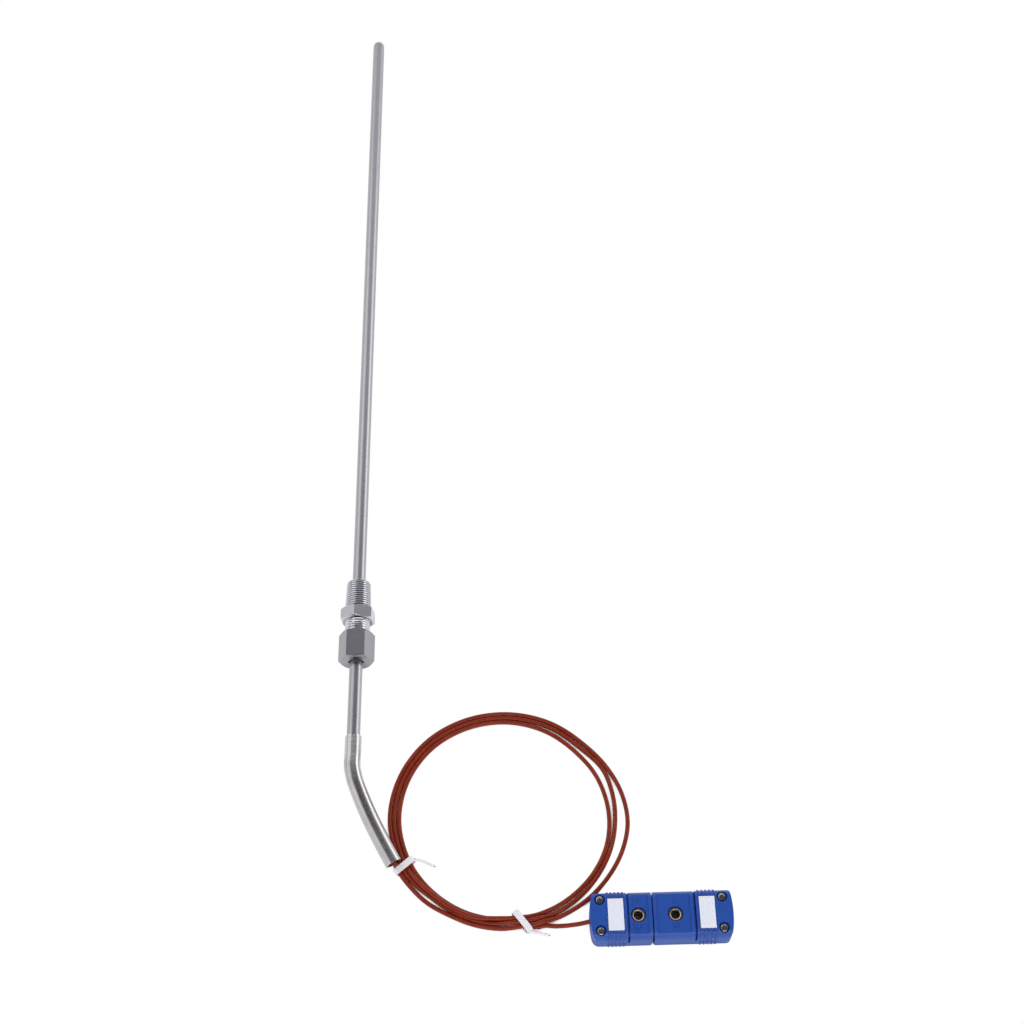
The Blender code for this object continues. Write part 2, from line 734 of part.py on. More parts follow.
def build_spring(material, route):
    """Close-wound spring: its turns touch, with a groove between each two outside."""
    turns = math.floor(route.length / SPRING_PITCH) - 1
    pitch = route.length / (turns + 1)

    def place(turn, radius, angle):
        return route.point(turn * pitch, radius, angle)

    edge = SPRING_RADIUS - SPRING_GROOVE
    strands = [(SPRING_GROOVE_SHARE, edge), (SPRING_CREST_SHARE, SPRING_RADIUS)]
    shape, start, end = helical_skin(SPRING_SIDES, turns, strands, place, (edge, edge))
    free = route.length - SPRING_OVERLAP
    rows = math.ceil(free / SPRING_BORE_RADIUS)
    distances = [0, *[SPRING_OVERLAP + free * row / rows for row in range(rows + 1)]]
    bore = []
    for distance in distances:
        bore.append([
            shape.verts.new(route.point(distance, SPRING_BORE_RADIUS, math.tau * i / SPRING_SIDES))
            for i in range(SPRING_SIDES)
        ])
    for one, other in [(start, bore[0]), *zip(bore, bore[1:]), (bore[-1], end)]:
        for i in range(SPRING_SIDES):
            j = (i + 1) % SPRING_SIDES
            shape.faces.new((one[i], one[j], other[j], other[i]))
    add_solid("strain_relief_spring", shape, material, None, math.radians(20))


def build_coil(material):
    """Outer shape of the coiled cable: one ring, wider where its turns fan out."""
    shape = bmesh.new()
    centre = from_rear((*COIL_CENTRE, COIL_BOTTOM + COIL_HEIGHT / 2))
    rows = []
    swell = 1 / math.cos(math.pi / COIL_SECTION_SIDES)
    for step in range(COIL_SIDES):
        angle = math.tau * step / COIL_SIDES
        outer = coil_outer_radius(angle)
        middle = (outer + COIL_INNER_RADIUS) / 2
        half = (outer - COIL_INNER_RADIUS) / 2
        row = []
        for corner in range(COIL_SECTION_SIDES):
            turn = math.tau * (corner + 0.5) / COIL_SECTION_SIDES
            radius = middle + half * swell * math.cos(turn)
            height = COIL_HEIGHT / 2 * swell * math.sin(turn)
            offset = Vector((radius * math.cos(angle), radius * math.sin(angle), height))
            row.append(shape.verts.new(centre + offset))
        rows.append(row)
    for one, other in zip(rows, rows[1:] + rows[:1]):
        for i in range(COIL_SECTION_SIDES):
            j = (i + 1) % COIL_SECTION_SIDES
            shape.faces.new((one[i], one[j], other[j], other[i]))
    add_solid("cable_coil", shape, material, None)


def build_tie(name, material, direction, slant, outer, tail):
    """Flat tie round the coil's ring, out to a radius, with one free tail."""
    inner = COIL_INNER_RADIUS
    centre = Vector(COIL_CENTRE)
    middle = (inner + outer) / 2
    place = from_rear((
        centre.x + middle * math.cos(direction),
        centre.y + middle * math.sin(direction),
        0,
    ))
    frame = add_empty(f"{name}_place", place, (0, 0, direction + slant))
    half = (outer - inner) / 2 / math.cos(slant) + CLEARANCE + TIE_WIDTH * abs(math.sin(slant)) / 2
    top = COIL_BOTTOM + COIL_HEIGHT + CLEARANCE
    height = top - TIE_THICKNESS
    corner = min(height, half) * TIE_CORNER_SHARE
    loops = []
    for grown in (0.0, TIE_THICKNESS):
        loop = []
        low, high = TIE_THICKNESS, top
        for x, z, start in (
            (half - corner, high - corner, 0),
            (-half + corner, high - corner, 90),
            (-half + corner, low + corner, 180),
            (half - corner, low + corner, 270),
        ):
            loop += arc((x, z), corner + grown, math.radians(start), math.radians(start + 90), 3)
        loops.append(loop)
    shape = bmesh.new()
    rings = []
    for loop, y in ((loops[0], -1), (loops[1], -1), (loops[1], 1), (loops[0], 1)):
        rings.append([shape.verts.new((x, y * TIE_WIDTH / 2, z)) for x, z in loop])
    for one, other in zip(rings, rings[1:] + rings[:1]):
        for i in range(len(one)):
            j = (i + 1) % len(one)
            shape.faces.new((one[i], one[j], other[j], other[i]))
    tie = add_solid(name, shape, material, frame)
    start_x = math.copysign(half + TIE_THICKNESS / 2, tail[0][0])
    points = [(start_x, 0), *tail]
    left, right = [], []
    for i, (x, y) in enumerate(points):
        before = points[max(i - 1, 0)]
        after = points[min(i + 1, len(points) - 1)]
        run = Vector((after[0] - before[0], after[1] - before[1])).normalized()
        left.append((x - run.y * TIE_TAIL_WIDTH / 2, y + run.x * TIE_TAIL_WIDTH / 2))
        right.append((x + run.y * TIE_TAIL_WIDTH / 2, y - run.x * TIE_TAIL_WIDTH / 2))
    tail_bottom = (TIE_THICKNESS + top) / 2 - TIE_TAIL_WIDTH / 2
    join(tie, prism([*left, *reversed(right)], tail_bottom, tail_bottom + TIE_TAIL_WIDTH))


def side_section(height, inset=0.0, steps=6):
    """Half of a shell's cross section, from the top's edge down its shoulder to the floor."""
    flat = CONNECTOR_WIDTH / 2 - SHOULDER_WIDTH
    wide = SHOULDER_WIDTH - inset
    tall = height - PARTING_HEIGHT - inset
    points = []
    for step in range(steps + 1):
        angle = math.pi / 2 * (1 - step / steps)
        points.append((flat + wide * math.cos(angle), PARTING_HEIGHT + tall * math.sin(angle)))
    points.append((flat + wide, SHELL_EDGE))
    points.append((flat + wide - SHELL_EDGE, 0))
    return points


def full_section(height):
    half = side_section(height)
    return [*half, *[(-y, z) for y, z in reversed(half)]]


def plan_outline(length, rear=True):
    """Plan of a connector shell: arched rear end, rounded corners, nearly square front."""
    half = CONNECTOR_WIDTH / 2
    arch_radius = (half ** 2 + REAR_ARCH ** 2) / (2 * REAR_ARCH)
    spread = math.asin((half - REAR_CORNER * REAR_CORNER_IN_ARCH) / arch_radius)
    rear_arc = arc((arch_radius, 0), arch_radius, math.pi - spread, math.pi + spread, 8)
    corner_x = rear_arc[0][0] + REAR_CORNER
    upper = arc((corner_x, half - REAR_CORNER), REAR_CORNER, math.pi / 2, REAR_CORNER_END, 3)
    lower = [(x, -y) for x, y in reversed(upper)]
    facet = FRONT_CORNER * FRONT_CORNER_FACET
    front = [
        (length - FRONT_CORNER, -half),
        (length - facet, facet - half),
        (length, FRONT_CORNER - half),
        (length, half - FRONT_CORNER),
        (length - facet, half - facet),
        (length - FRONT_CORNER, half),
    ]
    return [*upper, *rear_arc, *lower, *front]


def wall_rib_outline():
    """Cross section of a grip rib on the base's upright side wall."""
    wall = CONNECTOR_WIDTH / 2
    low, high = SHELL_EDGE * 2, PARTING_HEIGHT - SHELL_EDGE
    outer, inner = wall + RIB_RISE, wall - RIB_RISE * 2
    return [(outer, high), (outer, low), (inner, low), (inner, high)]


def shoulder_rib_outline():
    """Cross section of a grip rib over the cap's shoulder, from the label down to the parting."""
    low = PARTING_HEIGHT + SHELL_EDGE
    label_edge = LABEL_LENGTH / 2 + SEAT_GAP + SHELL_EDGE
    sides = []
    for inset in (-RIB_RISE, RIB_RISE * 2):
        curve = side_section(CONNECTOR_HEIGHT, inset)
        side = [(y, z) for y, z in curve if y >= label_edge and z > low]
        sides.append([*side, (CONNECTOR_WIDTH / 2 - inset, low)])
    return [*sides[0], *reversed(sides[1])]


def grip_ribs(outline):
    """The ribs on both sides of a shell, as one shape of loose bars."""
    ribs = bmesh.new()
    middle = LABEL_FROM_REAR + LABEL_WIDTH / 2
    for index in range(RIB_COUNT):
        start = middle + (index - (RIB_COUNT - 1) / 2) * RIB_PITCH - RIB_WIDTH / 2
        for side in (-1, 1):
            add_shape(ribs, prism([(side * y, z) for y, z in outline], start, start + RIB_WIDTH, "X"))
    return ribs


def panel_cutter(start, end):
    """Shallow panel sunk into the front block's top, following its shoulders."""
    curve = [
        (y, z) for y, z in side_section(BLOCK_HEIGHT, PANEL_DEPTH)
        if y < CONNECTOR_WIDTH / 2 - PANEL_SIDE_BORDER and z > PARTING_HEIGHT
    ]
    above = CONNECTOR_HEIGHT + CLEARANCE
    right = [(curve[-1][0], above), *reversed(curve)]
    left = [(-y, z) for y, z in reversed(right)]
    return prism([*right, *left], start, end, "X")


def pin_width(positive):
    return POSITIVE_PIN_WIDTH if positive else NEGATIVE_PIN_WIDTH


def build_connector_base(name, material, frame, length, eyelet_x, positive_side, is_plug):
    """Lower shell with its full-height front block, pockets, pads, holes and ribs."""
    base = add_solid(f"{name}_base", prism(plan_outline(length), 0, CONNECTOR_HEIGHT), material, frame)
    keep_inside(base, prism(full_section(BLOCK_HEIGHT), -CLEARANCE, length + CLEARANCE, "X"))
    half = CONNECTOR_WIDTH / 2
    far = CONNECTOR_HEIGHT + CLEARANCE
    beyond = half + CLEARANCE
    cut(base, block((-CLEARANCE, -beyond, PARTING_HEIGHT), (CAP_LENGTH + CAP_NOTCH, beyond, far)))
    over = PARTING_HEIGHT + CLEARANCE
    throat = CAP_SCREW_SPACING / 2 - CAP_SCREW_SHANK / 2 - SHELL_WALL
    cut(base, cavity_shape(SHELL_WALL, over, throat))
    cut(base, panel_cutter(CAP_LENGTH + CAP_NOTCH + PANEL_BORDER, length - PANEL_BORDER))
    for side in (-1, 1):
        positive = side == positive_side
        wide = pin_width(positive) / 2 + SEAT_GAP
        y = side * PIN_SPACING / 2
        pad_half = TERMINAL_HEAD / 2
        pad_low = (TERMINAL_FROM_REAR - pad_half, y - pad_half, SHELL_WALL / 2)
        pad_high = (TERMINAL_FROM_REAR + pad_half, y + pad_half, PIN_BOTTOM - SEAT_GAP)
        join(base, block(pad_low, pad_high))
        hole = TERMINAL_SHANK / 2 + SEAT_GAP
        cut(base, rod(hole, SHELL_WALL, PARTING_HEIGHT, 12, (TERMINAL_FROM_REAR, y)))
        slot_low = PIN_BOTTOM - SEAT_GAP
        slot_high = PIN_TOP + SEAT_GAP
        if not is_plug:
            pocket = CONTACT_SHEET + CLEARANCE + SEAT_GAP
            pocket_end = length - SHELL_WALL
            low = (CAVITY_FRONT - CLEARANCE, y - wide, PIN_BOTTOM - pocket)
            cut(base, block(low, (pocket_end, y + wide, PIN_TOP + pocket)))
            slot_low -= SEAT_GAP
            slot_high += SEAT_GAP
            wide += SEAT_GAP
        low = (CAVITY_FRONT - CLEARANCE, y - wide, slot_low)
        cut(base, block(low, (length + CLEARANCE, y + wide, slot_high)))
        x = CAP_SCREW_FROM_REAR
        y = side * CAP_SCREW_SPACING / 2
        hole = CAP_SCREW_SHANK / 2 + SEAT_GAP
        cut(base, rod(hole, SCREW_HOLE_FLOOR, PARTING_HEIGHT + CLEARANCE, 12, (x, y)))
    cut(base, eyelet_hole(eyelet_x))
    if is_plug:
        cut(base, cable_entry())
    join(base, grip_ribs(wall_rib_outline()))
    return base


def eyelet_hole(eyelet_x):
    """Stepped hole for the eyelet, wide at both ends for its flanges."""
    hole = EYELET_SHANK_RADIUS + SEAT_GAP
    sink = EYELET_FLANGE_RADIUS + CLEARANCE
    upper_step = BLOCK_HEIGHT - PANEL_DEPTH - EYELET_SINK
    profile = [
        (0, -CLEARANCE),
        (sink, -CLEARANCE),
        (sink, EYELET_SINK),
        (hole, EYELET_SINK),
        (hole, upper_step),
        (sink, upper_step),
        (sink, CONNECTOR_HEIGHT + CLEARANCE),
        (0, CONNECTOR_HEIGHT + CLEARANCE),
    ]
    shape = turned(profile, 24)
    bmesh.ops.translate(shape, verts=shape.verts, vec=(eyelet_x, 0, 0))
    return shape


def cavity_shape(bottom, top, throat):
    """The room inside a shell: wide round the terminals, narrow between the cap screws."""
    wide = CONNECTOR_WIDTH / 2 - SHELL_WALL
    step = CAP_SCREW_FROM_REAR + CAP_SCREW_SHANK / 2 + SHELL_WALL
    outline = [
        (REAR_ARCH + SHELL_WALL, -throat),
        (step, -throat),
        (step, -wide),
        (CAVITY_FRONT, -wide),
        (CAVITY_FRONT, wide),
        (step, wide),
        (step, throat),
        (REAR_ARCH + SHELL_WALL, throat),
    ]
    return prism(outline, bottom, top)


def cable_entry():
    """Round hole through the rear wall, half in each shell."""
    shape = rod(CABLE_ENTRY_DIAMETER / 2, -CLEARANCE, REAR_ARCH + SHELL_WALL + CLEARANCE, 16)
    half_side = Matrix.Rotation(math.pi / 16, 4, "Z")
    turn = Matrix.Translation((0, 0, PARTING_HEIGHT)) @ Matrix.Rotation(math.pi / 2, 4, "Y") @ half_side
    bmesh.ops.transform(shape, matrix=turn, verts=shape.verts)
    return shape


def build_connector_cap(name, material, frame, is_plug):
    """Upper shell over the terminals, with its label window, screw holes and ribs."""
    bottom = PARTING_HEIGHT + SEAT_GAP
    shape = prism(plan_outline(CAP_LENGTH), bottom, CONNECTOR_HEIGHT + CLEARANCE)
    cap = add_solid(f"{name}_cap", shape, material, frame)
    keep_inside(cap, prism(full_section(CONNECTOR_HEIGHT), -CLEARANCE, CAP_LENGTH + CLEARANCE, "X"))
    step = CAP_SCREW_FROM_REAR + CAP_SCREW_HEAD / 2 + SHELL_WALL
    throat = CAP_SCREW_SPACING / 2 - CAP_SCREW_HEAD / 2 - SHELL_WALL
    wide = CONNECTOR_WIDTH / 2 - CAP_SIDE_WALL
    outline = [
        (REAR_ARCH + SHELL_WALL, -throat),
        (step, -throat),
        (step, -wide),
        (CAP_LENGTH - SHELL_WALL / 2, -wide),
        (CAP_LENGTH - SHELL_WALL / 2, wide),
        (step, wide),
        (step, throat),
        (REAR_ARCH + SHELL_WALL, throat),
    ]
    cut(cap, prism(outline, bottom - CLEARANCE, CAVITY_TOP))
    label_low = (LABEL_FROM_REAR - SEAT_GAP, -LABEL_LENGTH / 2 - SEAT_GAP, label_floor())
    label_high = (
        LABEL_FROM_REAR + LABEL_WIDTH + SEAT_GAP,
        LABEL_LENGTH / 2 + SEAT_GAP,
        CONNECTOR_HEIGHT + CLEARANCE,
    )
    cut(cap, block(label_low, label_high))
    for side in (-1, 1):
        place = (CAP_SCREW_FROM_REAR, side * CAP_SCREW_SPACING / 2)
        cut(cap, rod(CAP_SCREW_SHANK / 2 + SEAT_GAP, bottom - CLEARANCE, CONNECTOR_HEIGHT, 12, place))
        sink = CAP_SCREW_HEAD / 2 + CLEARANCE
        cut(cap, rod(sink, CONNECTOR_HEIGHT - SCREW_SINK, CONNECTOR_HEIGHT + CLEARANCE, 20, place))
        y = side * PIN_SPACING / 2
        wide_pin = pin_width(False) / 2 + SEAT_GAP
        low = (CAP_LENGTH - SHELL_WALL, y - wide_pin, bottom - CLEARANCE)
        cut(cap, block(low, (CAP_LENGTH + CLEARANCE, y + wide_pin, PIN_TOP + CLEARANCE)))
    if is_plug:
        cut(cap, cable_entry())
    join(cap, grip_ribs(shoulder_rib_outline()))
    return cap


def label_floor():
    return CONNECTOR_HEIGHT - LABEL_THICKNESS - SEAT_GAP - SEAT_GAP / 2


def build_label(name, material, frame):
    low = (LABEL_FROM_REAR, -LABEL_LENGTH / 2, label_floor() + SEAT_GAP)
    high = (LABEL_FROM_REAR + LABEL_WIDTH, LABEL_LENGTH / 2, label_floor() + SEAT_GAP + LABEL_THICKNESS)
    add_solid(f"{name}_label", block(low, high), material, frame)


def build_eyelet(name, material, frame, eyelet_x):
    """Hollow rivet with a rolled flange at each end."""
    bore = EYELET_BORE / 2
    shank, flange = EYELET_SHANK_RADIUS, EYELET_FLANGE_RADIUS
    top = BLOCK_HEIGHT - PANEL_DEPTH - EYELET_SINK + SEAT_GAP
    bottom = EYELET_SINK - SEAT_GAP
    roll = EYELET_FLANGE_HEIGHT / 2
    profile = [
        (bore, bottom - EYELET_FLANGE_HEIGHT),
        (flange - roll, bottom - EYELET_FLANGE_HEIGHT),
        (flange, bottom - roll),
        (flange, bottom),
        (shank, bottom),
        (shank, top),
        (flange, top),
        (flange, top + roll),
        (flange - roll, top + EYELET_FLANGE_HEIGHT),
        (bore + roll, top + EYELET_FLANGE_HEIGHT),
        (bore, top + roll),
    ]
    eyelet = add_solid(f"{name}_eyelet", turned(profile, 24, closed=True), material, frame)
    eyelet.location = (eyelet_x, 0, 0)


def build_screw(name, material, frame, place, head, shank, seat, end):
    """Pan-head screw with a cross recess; seat is the underside of its head."""
    top = seat + SCREW_HEAD_HEIGHT
    radius = head / 2
    dome = [(radius * out, seat + SCREW_HEAD_HEIGHT * up) for out, up in SCREW_HEAD_SHAPE]
    profile = [(0, end), (shank / 2, end), (shank / 2, seat), (radius, seat), *dome, (0, top)]
    screw = add_solid(name, turned(profile, 16), material, frame)
    screw.location = (*place, 0)
    arm = radius * SCREW_CROSS_SHARE
    wide = SCREW_SLOT_WIDTH / 2
    cross = [
        (arm, -wide), (arm, wide), (wide, wide), (wide, arm), (-wide, arm), (-wide, wide),
        (-arm, wide), (-arm, -wide), (-wide, -wide), (-wide, -arm), (wide, -arm), (wide, -wide),
    ]
    cut(screw, prism(cross, top - SCREW_SLOT_DEPTH, top + CLEARANCE))


def build_pin(name, material, frame, y, width):
    """Flat pin with a terminal hole in its tongue and a chamfered tip."""
    start = TERMINAL_FROM_REAR - TERMINAL_HEAD
    end = PLUG_LENGTH + PIN_REACH
    slope = width / 4
    half = width / 2
    outline = [
        (start, -half), (end - slope, -half), (end, -half + slope),
        (end, half - slope), (end - slope, half), (start, half),
    ]
    outline = [(x, y + across) for x, across in outline]
    pin = add_solid(name, prism(outline, PIN_BOTTOM, PIN_TOP), material, frame)
    hole = TERMINAL_SHANK / 2 + SEAT_GAP
    cut(pin, rod(hole, PIN_BOTTOM - CLEARANCE, PIN_TOP + CLEARANCE, 12, (TERMINAL_FROM_REAR, y)))


def build_contact(name, material, frame, y, width):
    """Sprung contact: a forked sleeve for the pin with a terminal tongue behind it."""
    start = TERMINAL_FROM_REAR - TERMINAL_HEAD
    fork_end = SOCKET_LENGTH - SHELL_WALL - CLEARANCE
    fork_start = SOCKET_LENGTH - PIN_REACH - CLEARANCE
    inner_low, inner_high = PIN_BOTTOM - CLEARANCE, PIN_TOP + CLEARANCE
    low, high = inner_low - CONTACT_SHEET, inner_high + CONTACT_SHEET
    outline = [
        (start, PIN_BOTTOM),
        (fork_start - CONTACT_SHEET, PIN_BOTTOM),
        (fork_start - CONTACT_SHEET, low),
        (fork_end, low),
        (fork_end, inner_low),
        (fork_start, inner_low),
        (fork_start, inner_high),
        (fork_end, inner_high),
        (fork_end, high),
        (fork_start - CONTACT_SHEET, high),
        (fork_start - CONTACT_SHEET, PIN_TOP),
        (start, PIN_TOP),
    ]
    shape = prism(outline, y - width / 2, y + width / 2, "Y")
    contact = add_solid(name, shape, material, frame)
    hole = TERMINAL_SHANK / 2 + SEAT_GAP
    cut(contact, rod(hole, PIN_BOTTOM - CLEARANCE, PIN_TOP + CLEARANCE, 12, (TERMINAL_FROM_REAR, y)))


def build_plug_wires(material, frame):
    """The cable's two insulated conductors, from its end to the terminal screws."""
    end_x = TERMINAL_FROM_REAR - TERMINAL_HEAD / 2 - CLEARANCE
    aside, up = CABLE_IN_ENTRY
    height = PIN_TOP + SEAT_GAP + SCREW_HEAD_HEIGHT * CONDUCTOR_REST_SHARE
    for side, name in ((-1, "plug_wire_positive"), (1, "plug_wire_negative")):
        across = aside + side * (CONDUCTOR_DIAMETER / 2 + SEAT_GAP)
        start = Vector((REAR_ARCH + SHELL_WALL + CLEARANCE * 2, across, PARTING_HEIGHT + up))
        end = Vector((end_x, side * PIN_SPACING / 2 * CONDUCTOR_END_SHARE, height))
        run = end - start
        places = [
            start + Vector((run.x * along, run.y * out, run.z * rise))
            for along, out, rise in CONDUCTOR_SHAPE
        ]
        wire = add_cable(name, Route(places), CONDUCTOR_DIAMETER, material, CONDUCTOR_DIAMETER)
        wire.parent = frame


def build_connector(name, length, eyelet_from_front, positive_side, frame, finishes):
    is_plug = name == "plug"
    eyelet_x = length - eyelet_from_front
    build_connector_base(name, finishes["shell"], frame, length, eyelet_x, positive_side, is_plug)
    build_connector_cap(name, finishes["shell"], frame, is_plug)
    build_label(name, finishes["label"], frame)
    build_eyelet(name, finishes["brass"], frame, eyelet_x)
    seat = CONNECTOR_HEIGHT - SCREW_SINK + SEAT_GAP
    terminal_seat = PIN_TOP + SEAT_GAP
    for number, side in ((1, 1), (2, -1)):
        place = (CAP_SCREW_FROM_REAR, side * CAP_SCREW_SPACING / 2)
        build_screw(
            f"{name}_cap_screw_{number}", finishes["screw"], frame, place,
            CAP_SCREW_HEAD, CAP_SCREW_SHANK, seat, SCREW_HOLE_FLOOR + SEAT_GAP,
        )
        place = (TERMINAL_FROM_REAR, side * PIN_SPACING / 2)
        build_screw(
            f"{name}_terminal_screw_{number}", finishes["screw"], frame, place,
            TERMINAL_HEAD, TERMINAL_SHANK, terminal_seat, SHELL_WALL + SEAT_GAP,
        )
        positive = side == positive_side
        kind = "positive" if positive else "negative"
        y = side * PIN_SPACING / 2
        if is_plug:
            build_pin(f"plug_pin_{kind}", finishes[kind], frame, y, pin_width(positive))
        else:
            build_contact(f"socket_contact_{kind}", finishes[kind], frame, y, pin_width(positive))


def main():
    remove_everything()
    steel = make_material("brushed_stainless_steel", (0.56, 0.56, 0.58), 1.0, 0.3)
    spring_steel = make_material("spring_steel", (0.6, 0.6, 0.61), 1.0, 0.25)
    magnesia = make_material("packed_magnesia", (0.8, 0.79, 0.75), 0.0, 0.9)
    epoxy = make_material("epoxy_seal", (0.03, 0.03, 0.03), 0.0, 0.5)
    copper = make_material("copper", (0.72, 0.31, 0.17), 1.0, 0.3)
    constantan = make_material("constantan", (0.55, 0.5, 0.42), 1.0, 0.3)
    jacket = make_material("fluoropolymer_jacket", (0.22, 0.03, 0.018), 0.0, 0.35)
    tie_plastic = make_material("white_tie_plastic", (0.8, 0.8, 0.82), 0.0, 0.5)
    finishes = {
        "shell": make_material("blue_nylon", (0.025, 0.09, 0.42), 0.0, 0.4),
        "label": make_material("white_label_card", (0.82, 0.82, 0.86), 0.0, 0.6),
        "brass": make_material("plated_brass", (0.7, 0.58, 0.36), 1.0, 0.25),
        "screw": make_material("nickel_plated_steel", (0.65, 0.64, 0.6), 1.0, 0.25),
        "positive": copper,
        "negative": constantan,
    }

    probe = add_empty("probe_axis", on_axis(0), (math.pi / 2 - LEAN, 0, 0))
    fitting = add_empty("fitting_axis", (0, 0, FITTING_FROM_TIP), parent=probe)
    nut_carrier = add_empty("nut_travel_axis", (0, 0, 0), parent=fitting)
    nut_turn = add_empty("nut_turn_axis", (0, 0, 0), parent=nut_carrier)

    build_sheath(steel, probe)
    build_junction(constantan, {"positive_wire": copper, "negative_wire": constantan}, probe)
    build_filling(magnesia, epoxy, probe)
    build_fitting_body(steel, fitting)
    build_ferrules(steel, fitting, nut_carrier)
    build_nut(steel, nut_turn)
    spring = spring_route()
    build_spring(spring_steel, spring)

    plug_place = from_rear((*CONNECTOR_PLACE, 0))
    plug = add_empty("plug_axis", plug_place, (0, 0, CONNECTOR_TURN))
    mated_length = PLUG_LENGTH + MATING_GAP + SOCKET_LENGTH
    socket = add_empty("socket_axis", (mated_length, 0, 0), (0, 0, math.pi), plug)
    build_connector("plug", PLUG_LENGTH, PLUG_EYELET_FROM_FRONT, -1, plug, finishes)
    build_connector("socket", SOCKET_LENGTH, SOCKET_EYELET_FROM_FRONT, 1, socket, finishes)
    build_plug_wires(jacket, plug)

    spacing = CABLE_DIAMETER * CABLE_POINT_SPACING
    add_cable("cable_lead", lead_route(spring), CABLE_DIAMETER, jacket, spacing)
    add_cable("cable_tail", tail_route(plug_place), CABLE_DIAMETER, jacket, spacing)
    build_coil(jacket)
    lead_room = coil_outer_radius(TIE_LEFT_DIRECTION) + LEAD_BESIDE_COIL[0][1] + CABLE_DIAMETER
    build_tie(
        "tie_left", tie_plastic, TIE_LEFT_DIRECTION, TIE_LEFT_SLANT,
        lead_room, TIE_LEFT_TAIL,
    )
    build_tie(
        "tie_bottom", tie_plastic, TIE_BOTTOM_DIRECTION, TIE_BOTTOM_SLANT,
        coil_outer_radius(TIE_BOTTOM_DIRECTION), TIE_BOTTOM_TAIL,
    )


main()
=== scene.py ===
"""A threaded temperature sensor, dressed for a studio picture.

The CAD frame gives places and joints. Each sub-assembly is a class whose fields are its
sizes in metres and whose methods build its pieces and dress them.
"""

import sys

import json
import logging
import math
from dataclasses import dataclass, field
from enum import Enum

import bmesh
import bpy
from mathutils import Matrix, Vector

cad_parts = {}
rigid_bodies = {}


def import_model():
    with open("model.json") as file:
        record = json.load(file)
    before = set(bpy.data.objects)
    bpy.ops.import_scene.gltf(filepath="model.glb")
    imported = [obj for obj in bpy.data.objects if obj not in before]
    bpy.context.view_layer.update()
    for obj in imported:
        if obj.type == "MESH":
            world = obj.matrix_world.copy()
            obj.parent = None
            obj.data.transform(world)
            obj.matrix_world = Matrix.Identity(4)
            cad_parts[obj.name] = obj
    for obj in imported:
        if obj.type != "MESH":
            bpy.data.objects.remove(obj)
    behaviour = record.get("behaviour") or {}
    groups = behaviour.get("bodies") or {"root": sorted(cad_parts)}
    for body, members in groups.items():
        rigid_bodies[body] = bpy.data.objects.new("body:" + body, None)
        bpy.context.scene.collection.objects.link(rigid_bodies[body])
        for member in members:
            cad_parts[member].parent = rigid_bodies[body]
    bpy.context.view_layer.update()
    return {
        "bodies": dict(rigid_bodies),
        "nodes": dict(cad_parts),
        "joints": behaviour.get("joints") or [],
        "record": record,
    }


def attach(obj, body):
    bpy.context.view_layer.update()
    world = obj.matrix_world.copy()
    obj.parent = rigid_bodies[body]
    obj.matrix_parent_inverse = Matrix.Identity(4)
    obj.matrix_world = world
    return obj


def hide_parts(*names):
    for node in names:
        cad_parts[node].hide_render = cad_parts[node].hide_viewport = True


LOG = logging.getLogger("sensor")
MM = 0.001

Pair = tuple[float, float]
Point = tuple[float, float, float]

# The two colour inputs of a Mix node and its colour output, which share their names with others.
MIX_FROM, MIX_TO, MIX_RESULT = 6, 7, 2

# Vertices closer than this are one: after a rounding, and in a fresh piece.
MERGE = 2e-6
TINY = 1e-7


class Join(Enum):
    """How a second solid acts on the first."""

    ADD = "UNION"
    CUT = "DIFFERENCE"
    KEEP = "INTERSECT"


class Side(Enum):
    """The two ends of the mated connector pair."""

    PLUG = "plug"
    SOCKET = "socket"


# --------------------------------------------------------------------------- materials


def linear(code: str) -> tuple[float, float, float, float]:
    """Turn an sRGB hex colour into linear red, green, blue and alpha.

    Args:
        code: the colour as "#RRGGBB".

    Returns:
        Four linear values, the last one 1.
    """
    parts = [int(code[i : i + 2], 16) / 255 for i in (1, 3, 5)]
    red, green, blue = (c / 12.92 if c <= 0.04045 else ((c + 0.055) / 1.055) ** 2.4 for c in parts)
    return (red, green, blue, 1.0)


def add_node(
    tree: bpy.types.NodeTree, kind: str, settings: dict | None = None, links: dict | None = None
) -> bpy.types.Node:
    """Add one node with its settings and what feeds it.

    Args:
        tree: the node tree.
        kind: the node's type name.
        settings: attribute names, input names or input indexes, and their values.
        links: input names, or indexes, and the output sockets that feed them.

    Returns:
        The new node.
    """
    node = tree.nodes.new(kind)
    for name, value in (settings or {}).items():
        if isinstance(name, int) or name in node.inputs:
            node.inputs[name].default_value = value
        else:
            setattr(node, name, value)
    for name, socket in (links or {}).items():
        tree.links.new(socket, node.inputs[name])
    return node


def between(source: Pair, target: Pair) -> dict[str, float]:
    """The settings that carry one range to another.

    Args:
        source: the range that values come from.
        target: the range that they go to.

    Returns:
        Input names and their values.
    """
    return dict(zip(("From Min", "From Max", "To Min", "To Max"), (*source, *target)))


